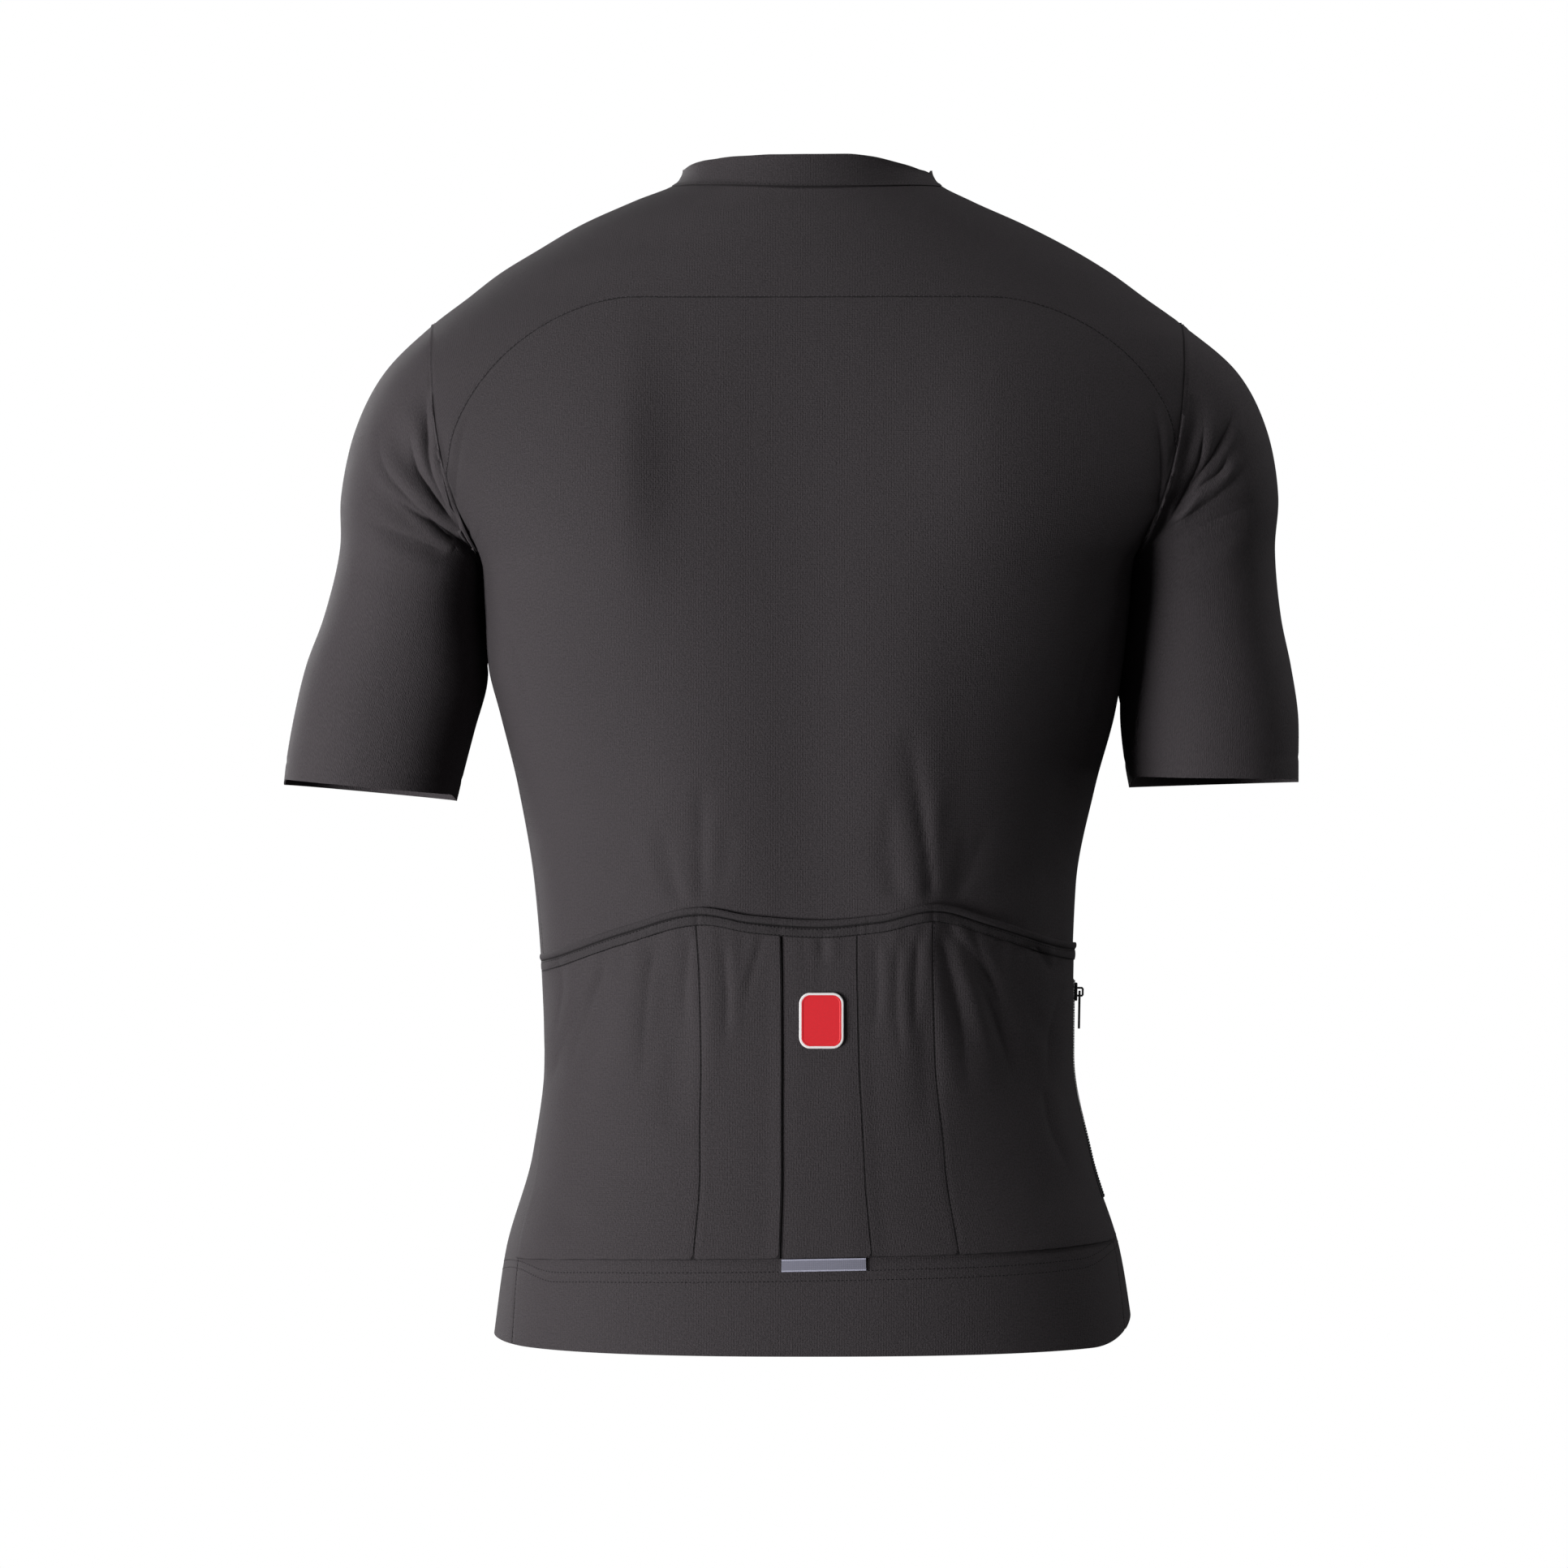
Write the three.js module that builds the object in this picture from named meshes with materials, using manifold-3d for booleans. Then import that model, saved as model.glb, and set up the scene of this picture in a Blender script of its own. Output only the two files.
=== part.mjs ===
// A short-sleeved cycling jersey, filled out as worn, with a stand collar, a shoulder yoke, a full front zip,
// three back pockets under one bound edge and a zipped pocket in the right side seam.
// Millimetres. +X is the wearer's right, +Y the front, +Z up. The origin is midway between the shoulders,
// where the side of the neckline meets the shoulder ridge and the wearer's shoulders carry the cloth.
import * as THREE from "three";
import Module from "manifold-3d";
import { mergeVertices } from "three/addons/utils/BufferGeometryUtils.js";

// Cloth and seams
const CLOTH = 1.2;
const SEAM_GAP = 0.3;
const LAYER_GAP = 0.3;

// Heights of the main lines
const UNDERARM_Z = -206;
const SHOULDER_POINT_Z = -77;
const SHOULDER_POINT_X = 206;
const UNDERARM_X = 180;
const ARMHOLE_BOW = 8;
const GAP_UNDER_ARM = 1.6;
const UNDERARM_SHIFT = 1.2;

// Body sections, one row a height: half widths to the left and right, depths to the back and front,
// and how square the section is, 2 being an ellipse.
const BODY_SECTIONS = [
  { z: 12, left: 64, right: 64, back: 52, front: 44, square: 2 },
  { z: 0, left: 73, right: 73, back: 60, front: 50, square: 2 },
  { z: -10, left: 97, right: 92, back: 66, front: 55, square: 2 },
  { z: -23, left: 126, right: 121, back: 75, front: 60, square: 2 },
  { z: -37, left: 150, right: 148, back: 83, front: 66, square: 2 },
  { z: -50, left: 171, right: 169, back: 90, front: 71, square: 2.05 },
  { z: -64, left: 189, right: 188, back: 96, front: 77, square: 2.1 },
  { z: -77, left: 206, right: 206, back: 101, front: 83, square: 2.15 },
  { z: -91, left: 221, right: 222, back: 106, front: 89, square: 2.2 },
  { z: -110, left: 233, right: 234, back: 111, front: 96, square: 2.25 },
  { z: -135, left: 238, right: 239, back: 115, front: 105, square: 2.3 },
  { z: -160, left: 232, right: 233, back: 118, front: 112, square: 2.35 },
  { z: -185, left: 209, right: 209, back: 119, front: 117, square: 2.5 },
  { z: -193, left: 202, right: 202, back: 119, front: 118, square: 2.55 },
  { z: -200, left: 193, right: 193, back: 119, front: 118.5, square: 2.6 },
  { z: -204, left: 186, right: 186, back: 119, front: 119, square: 2.65 },
  { z: -206, left: 180, right: 180, back: 119, front: 119, square: 2.7 },
  { z: -235, left: 178.5, right: 178, back: 117, front: 119, square: 2.6 },
  { z: -266, left: 176.5, right: 174.5, back: 114, front: 117, square: 2.5 },
  { z: -293, left: 170, right: 170, back: 111, front: 114, square: 2.45 },
  { z: -334, left: 160, right: 159, back: 105, front: 110, square: 2.4 },
  { z: -388, left: 151, right: 148.5, back: 98, front: 104, square: 2.35 },
  { z: -440, left: 147, right: 146.5, back: 94, front: 100, square: 2.3 },
  { z: -482, left: 145.5, right: 146, back: 93.5, front: 99, square: 2.3 },
  { z: -536, left: 152, right: 156, back: 99, front: 101, square: 2.3 },
  { z: -590, left: 167, right: 173, back: 111, front: 105, square: 2.35 },
  { z: -640, left: 174, right: 181, back: 119, front: 108, square: 2.4 },
];

// Neckline in plan, and the collar that stands on it
const NECK_HALF_WIDTH = 73;
const NECK_BACK = 64;
const NECK_FRONT = 73;
const COLLAR_HEIGHT = { back: 19, side: 8, front: 18 };
const COLLAR_LEAN = 4;

// Yoke seam across the back: flat in the middle, then an arc down to each armhole
const YOKE_SEAM_Z = -70;
const YOKE_FLAT = { left: 94, right: 100 };
const YOKE_END_Z = { left: -166, right: -151 };
const YOKE_ROUND = 1.8;
// Front shoulder seam, forward of the shoulder ridge
const FRONT_SEAM_DROP = 8;
const FRONT_SEAM_NECK_ANGLE = 118;

// Hem height round the body and the angle of the side seam, 0 at the back centre and 90 at the side
const HEM_Z = { back: -637, left: -635, right: -624, front: -608 };
const SIDE_SEAM_ANGLES = [
  { z: -206, left: 90, right: 90 },
  { z: -270, left: 86, right: 87 },
  { z: -340, left: 82, right: 85 },
  { z: -420, left: 79, right: 84 },
  { z: -500, left: 78, right: 84 },
  { z: -560, left: 72, right: 79 },
  { z: -640, left: 66, right: 73 },
];

// Back pockets: the bound top edge, one row a point across, and the folded bottom edge
const POCKET_TOP = [
  { x: -160, z: -430 },
  { x: -141, z: -424 },
  { x: -100, z: -409 },
  { x: -57, z: -398 },
  { x: -30, z: -402.5 },
  { x: 6, z: -405 },
  { x: 38, z: -402 },
  { x: 66, z: -396 },
  { x: 100, z: -405 },
  { x: 141, z: -418 },
  { x: 160, z: -422 },
];
const POCKET_BOTTOM = [
  { x: -170, z: -592 },
  { x: -110, z: -588 },
  { x: 0, z: -585.6 },
  { x: 110, z: -584 },
  { x: 170, z: -582 },
];
const POCKET_THICK = 1;
const BINDING_HEIGHT = 9.7;
const BINDING_THICK = 1.5;

// Reflective tab and plain patch on the middle pocket
const TAB = { height: 6.6, thick: 1 };
const PATCH = { z: -459, width: 24, height: 30, corner: 6, thick: 1 };

// Sleeves, one row a section from the armhole to the cuff: the outer and inner point in front view,
// how far the section reaches to the back and front, and how far its middle lies forward.
const SLEEVE_SECTIONS = {
  left: [
    { outX: 234, outZ: -104.5, inX: 180, inZ: -211, back: 67, front: 64, fore: 0 },
    { outX: 250, outZ: -135, inX: 180, inZ: -217, back: 64, front: 63, fore: 2 },
    { outX: 258.5, outZ: -172, inX: 180, inZ: -227, back: 61, front: 61, fore: 5 },
    { outX: 259.5, outZ: -202, inX: 180, inZ: -240, back: 59, front: 60, fore: 8 },
    { outX: 268.5, outZ: -239, inX: 178, inZ: -257, back: 57.5, front: 58, fore: 10 },
    { outX: 278.5, outZ: -266, inX: 178, inZ: -276, back: 56.5, front: 57, fore: 11 },
    { outX: 285, outZ: -293, inX: 185, inZ: -302, back: 55, front: 55, fore: 11 },
    { outX: 289.3, outZ: -317, inX: 191.5, inZ: -327, back: 53.5, front: 53.5, fore: 11 },
    { outX: 291, outZ: -332.5, inX: 195, inZ: -341.5, back: 52.5, front: 52.5, fore: 11 },
  ],
  right: [
    { outX: 238, outZ: -104.5, inX: 180, inZ: -211, back: 67, front: 64, fore: 0 },
    { outX: 254, outZ: -135, inX: 180, inZ: -217, back: 64, front: 63, fore: 2 },
    { outX: 261, outZ: -172, inX: 179, inZ: -227, back: 61, front: 61, fore: 5 },
    { outX: 259.5, outZ: -202, inX: 178, inZ: -240, back: 59, front: 60, fore: 8 },
    { outX: 263, outZ: -239, inX: 176, inZ: -255, back: 57.5, front: 58, fore: 10 },
    { outX: 268.6, outZ: -266, inX: 174.5, inZ: -273, back: 56.5, front: 57, fore: 11 },
    { outX: 272.7, outZ: -293, inX: 174, inZ: -296, back: 55, front: 55, fore: 11 },
    { outX: 273, outZ: -317, inX: 176.5, inZ: -320, back: 53.5, front: 53.5, fore: 11 },
    { outX: 273, outZ: -331, inX: 179, inZ: -334, back: 52.5, front: 52.5, fore: 11 },
  ],
};

// Largest folds, in the back view: a soft trough from one point to another that bows to one side
const FOLDS = [
  { x0: -189, z0: -170, x1: -208, z1: -118, bow: 5, depth: 2.2, width: 7 },
  { x0: -190, z0: -180, x1: -228, z1: -132, bow: 7, depth: 2.2, width: 7 },
  { x0: -189, z0: -194, x1: -238, z1: -165, bow: 7, depth: 2.4, width: 8 },
  { x0: 192, z0: -168, x1: 212, z1: -122, bow: -5, depth: 2.0, width: 7 },
  { x0: 190, z0: -182, x1: 233, z1: -138, bow: -7, depth: 2.2, width: 7 },
  { x0: 187, z0: -196, x1: 240, z1: -172, bow: -7, depth: 2.2, width: 8 },
  { x0: 60, z0: -392, x1: 54, z1: -300, bow: 2, depth: 2.0, width: 9 },
  { x0: -60, z0: -392, x1: -62, z1: -335, bow: 2, depth: 1.2, width: 9 },
  { x0: 58, z0: -408, x1: 64, z1: -520, bow: 3, depth: 1.8, width: 9 },
  { x0: 96, z0: -420, x1: 122, z1: -505, bow: -6, depth: 1.6, width: 9 },
  { x0: -62, z0: -415, x1: -72, z1: -520, bow: -4, depth: 1.6, width: 10 },
  { x0: -112, z0: -432, x1: -132, z1: -520, bow: 5, depth: 1.4, width: 8 },
];

// How finely each piece is divided. Across the back, 0 is the centre and 90 the side edge; columns run along
// the edges of the middle pocket and the two stitch lines beside it.
const BACK_COLUMN_BANDS = [
  { from: -90, to: -19.3, steps: 10 },
  { from: -19.3, to: -4.5, steps: 3 },
  { from: -4.5, to: 8.3, steps: 3 },
  { from: 8.3, to: 20.8, steps: 3 },
  { from: 20.8, to: 90, steps: 9 },
];
const STRIP_FIRST = 13;
const STRIP_LAST = 16;
const HEM_ROWS = 3;
const POCKET_ROWS = 10;
const BINDING_ROWS = 1;
const MIDDLE_ROWS = 10;
const LOWER_ROWS = HEM_ROWS + POCKET_ROWS + BINDING_ROWS + MIDDLE_ROWS;
const ARMHOLE_LOWER_ROWS = 6;
const YOKE_ARM_ROWS = 8;
const RIDGE_ROWS = 6;
const STRIP_COLUMNS = 3;
const FRONT_COLUMNS = 12;
const FRONT_ARM_ROWS = 8;
const SLEEVE_STEPS = 2;
const COLLAR_ROWS = 3;

// Zips
const ZIP_HALF_WIDTH = 4;
const SIDE_ZIP = { topZ: -440, bottomZ: -560, from: 0.1, to: 0.75, thick: 1, rows: 8 };
const SIDE_SLIDER_Z = -447;
const SLIDER_CLEAR = 0.3;
const SLIDER = { width: 7, length: 10, thick: 1.8, corner: 2 };
const BAIL = { width: 1.6, opening: 3.2, gap: 2.4, thick: 1.1, overlap: 0.4 };
const PULL = { width: 5, length: 21, thick: 1.2, bar: 1.2, eyeWidth: 2.6, eyeBottom: 4, round: 1.6 };
const FRONT_PULL_LIFT = 7;

const degrees = Math.PI / 180;
const FRONT_EDGE = 90.001;
const sides = ["left", "right"];
const signOf = { left: -1, right: 1 };
const clamp = (v, low, high) => Math.min(high, Math.max(low, v));
const lerp = (a, b, t) => a + (b - a) * t;
const smooth = (t) => t * t * (3 - 2 * t);
const steps = (from, to, count) => Array.from({ length: count + 1 }, (_, i) => lerp(from, to, i / count));

// A smooth curve through one column of a table, by monotone cubic steps.
function columnCurve(rows, at, key) {
  const sorted = [...rows].sort((a, b) => a[at] - b[at]);
  const x = sorted.map((r) => r[at]);
  const y = sorted.map((r) => r[key]);
  const slope = x.slice(1).map((v, i) => (y[i + 1] - y[i]) / (v - x[i]));
  const tangent = x.map((_, i) => {
    if (i === 0) return slope[0];
    if (i === x.length - 1) return slope[i - 1];
    const [s, t] = [slope[i - 1], slope[i]];
    return s * t <= 0 ? 0 : (2 * s * t) / (s + t);
  });
  return (v) => {
    const c = clamp(v, x[0], x[x.length - 1]);
    const i = clamp(x.findIndex((k) => k >= c) - 1, 0, x.length - 2);
    const h = x[i + 1] - x[i];
    const t = (c - x[i]) / h;
    return (
      y[i] * (1 + 2 * t) * (1 - t) ** 2 +
      tangent[i] * h * t * (1 - t) ** 2 +
      y[i + 1] * t * t * (3 - 2 * t) -
      tangent[i + 1] * h * t * t * (1 - t)
    );
  };
}

const section = {
  left: columnCurve(BODY_SECTIONS, "z", "left"),
  right: columnCurve(BODY_SECTIONS, "z", "right"),
  back: columnCurve(BODY_SECTIONS, "z", "back"),
  front: columnCurve(BODY_SECTIONS, "z", "front"),
  square: columnCurve(BODY_SECTIONS, "z", "square"),
};
const seamAngle = {
  left: columnCurve(SIDE_SEAM_ANGLES, "z", "left"),
  right: columnCurve(SIDE_SEAM_ANGLES, "z", "right"),
};
const pocketTop = columnCurve(POCKET_TOP, "x", "z");
const pocketBottom = columnCurve(POCKET_BOTTOM, "x", "z");
const sideOf = (angle) => (angle < 0 ? "left" : "right");

// How far out the armhole edge lies at a height.
function armholeX(z) {
  const t = clamp((z - UNDERARM_Z) / (SHOULDER_POINT_Z - UNDERARM_Z), 0, 1);
  return lerp(UNDERARM_X, SHOULDER_POINT_X, t) + ARMHOLE_BOW * Math.sin(Math.PI * t ** 0.8);
}

// Half width of the body cloth: the section, or the armhole edge where that cuts it.
function clothHalfWidth(side, z) {
  const full = section[side](z);
  return z > UNDERARM_Z && z < SHOULDER_POINT_Z ? Math.min(full, armholeX(z)) : full;
}

// A point of the body at an angle round it, in degrees, and a height. Between the armholes the angle
// runs from one armhole edge (-90) over the back (0) to the other (90), and past 90 over the front.
function bodyPoint(angle, z) {
  const side = sideOf(angle);
  const full = section[side](z);
  const n = section.square(z);
  const s = Math.abs(Math.sin(angle * degrees));
  const x = clothHalfWidth(side, z) * s ** (2 / n);
  const depth = Math.max(0, 1 - (x / full) ** n) ** (1 / n);
  const y = Math.abs(angle) <= 90 ? -section.back(z) * depth : section.front(z) * depth;
  return new THREE.Vector3(signOf[side] * x, y, z);
}

// The angle at which the body has a given x at a height, on its back or its front.
function angleAt(x, z, front = false) {
  const n = section.square(z);
  const share = clamp(Math.abs(x) / clothHalfWidth(x < 0 ? "left" : "right", z), 0, 1);
  const a = Math.asin(share ** (n / 2)) / degrees;
  return (x < 0 ? -1 : 1) * (front ? 180 - a : a);
}

// Height of the neckline at an angle: where the body meets the neck's plan.
function neckHeight(angle) {
  let [low, high] = [-110, 11];
  for (let i = 0; i < 40; i++) {
    const z = (low + high) / 2;
    const p = bodyPoint(angle, z);
    const reach = Math.hypot(p.x / NECK_HALF_WIDTH, p.y / (p.y < 0 ? NECK_BACK : NECK_FRONT));
    if (reach > 1) low = z;
    else high = z;
  }
  return (low + high) / 2;
}

// A height that depends on x, at an angle of the back: the point where the two agree.
function heightWhere(angle, guess, heightOf) {
  let z = guess;
  for (let i = 0; i < 60; i++) z = lerp(z, heightOf(bodyPoint(angle, z).x), 0.3);
  return z;
}

// Height of the yoke seam at an angle on the back.
function yokeSeamHeight(across) {
  const side = sideOf(across);
  const [flat, end] = [YOKE_FLAT[side], YOKE_END_Z[side]];
  const reach = armholeX(end) - flat;
  if (Math.abs(across) === 90) return end;
  return heightWhere(across, lerp(YOKE_SEAM_Z, end, Math.abs(across) / 90), (x) => {
    const u = clamp((Math.abs(x) - flat) / reach, 0, 1);
    return end + (YOKE_SEAM_Z - end) * (1 - u ** YOKE_ROUND) ** (1 / YOKE_ROUND);
  });
}

// Height of the hem at an angle.
function hemHeight(angle) {
  const side = HEM_Z[sideOf(angle)];
  const c = Math.cos(angle * degrees);
  return c >= 0 ? lerp(side, HEM_Z.back, smooth(Math.min(1, c * 1.8))) : lerp(side, HEM_Z.front, smooth(-c));
}

// The front shoulder seam, from the armhole (0) to the neckline (1).
const FRONT_SEAM_ARM_Z = SHOULDER_POINT_Z - FRONT_SEAM_DROP;
function frontSeamPoint(side, t) {
  const sign = signOf[side];
  const angle = sign * lerp(FRONT_EDGE, FRONT_SEAM_NECK_ANGLE, t ** 0.8);
  return { angle, z: lerp(FRONT_SEAM_ARM_Z, neckHeight(sign * FRONT_SEAM_NECK_ANGLE), t) };
}

// Heights along part of the armhole edge, evenly round it.
const edgeTurn = (z) => Math.acos(clamp((2 * (z - UNDERARM_Z)) / (SHOULDER_POINT_Z - UNDERARM_Z) - 1, -1, 1));
const edgeSteps = (from, to, count) =>
  steps(edgeTurn(from), edgeTurn(to), count).map((a) => lerp(UNDERARM_Z, SHOULDER_POINT_Z, (1 + Math.cos(a)) / 2));
const backEdge = (side) => edgeSteps(UNDERARM_Z, YOKE_END_Z[side], ARMHOLE_LOWER_ROWS);
const yokeEdge = (side) => edgeSteps(YOKE_END_Z[side], SHOULDER_POINT_Z, YOKE_ARM_ROWS);
const yokeFrontEdge = edgeSteps(SHOULDER_POINT_Z, FRONT_SEAM_ARM_Z, STRIP_COLUMNS);
const frontEdge = edgeSteps(UNDERARM_Z, FRONT_SEAM_ARM_Z, FRONT_ARM_ROWS);

// How deep the folds press the cloth in at a point of the back.
function foldDepth(p) {
  let sum = 0;
  for (const f of FOLDS) {
    const [dx, dz] = [f.x1 - f.x0, f.z1 - f.z0];
    const long = Math.hypot(dx, dz);
    const t = ((p.x - f.x0) * dx + (p.z - f.z0) * dz) / (long * long);
    if (t < 0 || t > 1) continue;
    const bow = f.bow * Math.sin(Math.PI * t);
    const off = ((p.x - f.x0) * dz - (p.z - f.z0) * dx) / long + bow;
    sum += f.depth * Math.sin(Math.PI * t) ** 0.7 * Math.exp(-((off / f.width) ** 2));
  }
  return sum;
}

// A grid of points from a function of row and column.
const grid = (rows, columns, at) =>
  Array.from({ length: rows + 1 }, (_, r) => Array.from({ length: columns + 1 }, (_, c) => at(r, c)));
const partOf = (points, rowFrom, rowTo, columnFrom, columnTo) =>
  points.slice(rowFrom, rowTo + 1).map((row) => row.slice(columnFrom, columnTo + 1));

// The triangles of grids that share edge points. Seen from outside, rows run up and columns to the right.
function trianglesOf(grids) {
  const positions = [];
  for (const points of grids) {
    for (let r = 0; r + 1 < points.length; r++) {
      for (let c = 0; c + 1 < points[r].length; c++) {
        const [a, b, d, e] = [points[r][c], points[r][c + 1], points[r + 1][c], points[r + 1][c + 1]];
        const even = a.distanceTo(e) <= b.distanceTo(d);
        const corners = even ? [a, b, e, a, e, d] : [a, b, d, b, e, d];
        for (const p of corners) positions.push(p.x, p.y, p.z);
      }
    }
  }
  const loose = new THREE.BufferGeometry();
  loose.setAttribute("position", new THREE.Float32BufferAttribute(positions, 3));
  const merged = mergeVertices(loose, 1e-2);
  const index = [];
  for (let i = 0; i < merged.index.count; i += 3) {
    const t = [0, 1, 2].map((k) => merged.index.getX(i + k));
    if (new Set(t).size === 3) index.push(...t);
  }
  merged.setIndex(index);
  merged.computeVertexNormals();
  return merged;
}

// Normals at seams are the mean of both pieces, so the walls on either side of a seam stay in line.
const seamNormals = new Map();
const placeOf = (p) => [p.x, p.y, p.z].map((v) => Math.round(v * 20)).join();
function noteNormals(surface) {
  const { position, normal } = surface.attributes;
  for (let i = 0; i < position.count; i++) {
    const key = placeOf(new THREE.Vector3().fromBufferAttribute(position, i));
    if (!seamNormals.has(key)) seamNormals.set(key, []);
    seamNormals.get(key).push(new THREE.Vector3().fromBufferAttribute(normal, i));
  }
}
function seamNormal(point, own, ownShare) {
  const sum = own.clone().multiplyScalar(ownShare);
  for (const other of seamNormals.get(placeOf(point)) ?? []) if (other.dot(own) > 0.5) sum.add(other);
  return sum.normalize();
}

// A closed wall from a surface: its outer face lies lift above the surface, and it is thick towards the
// inside. Free edges are drawn back by half a seam gap, so neighbours don't touch. A layer over another
// piece is made from that piece's points and takes its normals, so it follows it at one distance.
function wallOf(grids, { thick = CLOTH, lift = 0, folds = false, inset = SEAM_GAP / 2, ownShare = 1 } = {}) {
  const surface = trianglesOf(grids);
  const index = Array.from(surface.index.array);
  const count = surface.attributes.position.count;
  const point = (i) => new THREE.Vector3().fromBufferAttribute(surface.attributes.position, i);
  const own = (i) => new THREE.Vector3().fromBufferAttribute(surface.attributes.normal, i);
  const edges = new Map();
  for (let i = 0; i < index.length; i += 3) {
    for (let k = 0; k < 3; k++) {
      const [a, b] = [index[i + k], index[i + ((k + 1) % 3)]];
      edges.set(`${a}_${b}`, [a, b]);
    }
  }
  const free = [...edges.values()].filter(([a, b]) => !edges.has(`${b}_${a}`));
  const pull = Array.from({ length: count }, () => new THREE.Vector3());
  for (const [a, b] of free) {
    const along = point(b).sub(point(a)).normalize();
    for (const i of [a, b]) pull[i].add(new THREE.Vector3().crossVectors(own(i), along).normalize());
  }
  const outer = [];
  const inner = [];
  for (let i = 0; i < count; i++) {
    const p = point(i);
    const n = seamNormal(p, own(i), ownShare);
    if (pull[i].lengthSq() > 0) p.addScaledVector(pull[i].normalize(), inset);
    const pressed = folds ? foldDepth(point(i)) * clamp((0.3 - n.y) * 2, 0, 1) : 0;
    outer.push(p.clone().addScaledVector(n, lift - pressed));
    inner.push(p.clone().addScaledVector(n, lift - thick - pressed));
  }
  const faces = [...index];
  for (let i = 0; i < index.length; i += 3) {
    faces.push(index[i] + count, index[i + 2] + count, index[i + 1] + count);
  }
  for (const [a, b] of free) faces.push(a, a + count, b, b, a + count, b + count);
  const wall = new THREE.BufferGeometry();
  const positions = [...outer, ...inner].flatMap((p) => [p.x, p.y, p.z]);
  wall.setAttribute("position", new THREE.Float32BufferAttribute(positions, 3));
  wall.setIndex(faces);
  return wall;
}

// Where the columns of the back lie.
const backAcross = BACK_COLUMN_BANDS.flatMap((b, i) => steps(b.from, b.to, b.steps).slice(i === 0 ? 0 : 1));
const BACK_COLUMNS = backAcross.length - 1;

// Heights of the rows of a column of the back: hem, pocket bottom, binding, pocket top, then the rest.
function lowerHeights(across) {
  const side = sideOf(across);
  const angle = (z) => (across / 90) * seamAngle[side](z);
  const hem = hemHeight(angle(HEM_Z[side]));
  const lineOf = (guess, curve) => {
    let z = guess;
    for (let i = 0; i < 30; i++) z = lerp(z, curve(bodyPoint(angle(z), z).x), 0.5);
    return z;
  };
  const bottom = lineOf(-586, pocketBottom);
  const top = lineOf(-410, pocketTop);
  const level = lerp(UNDERARM_Z, YOKE_SEAM_Z - 60, (1 - Math.abs(across / 90) ** 2) * 0.35);
  return [
    ...steps(hem, bottom, HEM_ROWS),
    ...steps(bottom, top - BINDING_HEIGHT, POCKET_ROWS).slice(1),
    ...steps(top - BINDING_HEIGHT, top, BINDING_ROWS).slice(1),
    ...steps(top, level, MIDDLE_ROWS).slice(1),
  ];
}

const backPoints = (() => {
  const columns = backAcross.map((across) => {
    const side = sideOf(across);
    const lower = lowerHeights(across);
    const edge = backEdge(side);
    const seam = yokeSeamHeight(across);
    const w = Math.abs(across / 90) ** 3;
    const upper = edge.slice(1).map((z, i) => {
      const even = lerp(lower[lower.length - 1], seam, (i + 1) / ARMHOLE_LOWER_ROWS);
      const like = lerp(lower[lower.length - 1], seam, (z - edge[0]) / (edge[ARMHOLE_LOWER_ROWS] - edge[0]));
      return lerp(even, like, w);
    });
    const angleOf = (z) => (z < UNDERARM_Z ? (across / 90) * seamAngle[side](z) : across);
    return [...lower, ...upper].map((z) => bodyPoint(angleOf(z), z));
  });
  return grid(LOWER_ROWS + ARMHOLE_LOWER_ROWS, BACK_COLUMNS, (r, c) => columns[c][r]);
})();

// The yoke: over the back between the armholes and up to the neckline, then over each shoulder ridge
// to the front shoulder seam.
const ridgeHeights = (side) => steps(SHOULDER_POINT_Z, neckHeight(signOf[side] * 90), RIDGE_ROWS);
const yokeParts = (() => {
  const rows = YOKE_ARM_ROWS + RIDGE_ROWS;
  const columns = backAcross.map((across) => {
    const side = sideOf(across);
    const edge = [...yokeEdge(side).slice(0, -1), ...ridgeHeights(side)];
    const [low, high] = [yokeSeamHeight(across), neckHeight(across)];
    return edge.map((z, r) => {
      const like = (z - edge[0]) / (edge[rows] - edge[0]);
      return bodyPoint(across, lerp(low, high, lerp(r / rows, like, Math.abs(across / 90) ** 4)));
    });
  });
  const back = grid(rows, BACK_COLUMNS, (r, c) => columns[c][r]);
  const strips = sides.map((side) => {
    const sign = signOf[side];
    const ridge = ridgeHeights(side);
    return grid(RIDGE_ROWS, STRIP_COLUMNS, (r, c) => {
      const k = side === "right" ? c : STRIP_COLUMNS - c;
      const t = k / STRIP_COLUMNS;
      if (k === 0) return bodyPoint(sign * 90, ridge[r]);
      if (r === 0) return bodyPoint(sign * FRONT_EDGE, yokeFrontEdge[k]);
      const seam = frontSeamPoint(side, r / RIDGE_ROWS);
      const angle = lerp(sign * 90, seam.angle, t);
      return bodyPoint(angle, r === RIDGE_ROWS ? neckHeight(angle) : lerp(ridge[r], seam.z, t));
    });
  });
  return [back, ...strips];
})();

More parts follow.
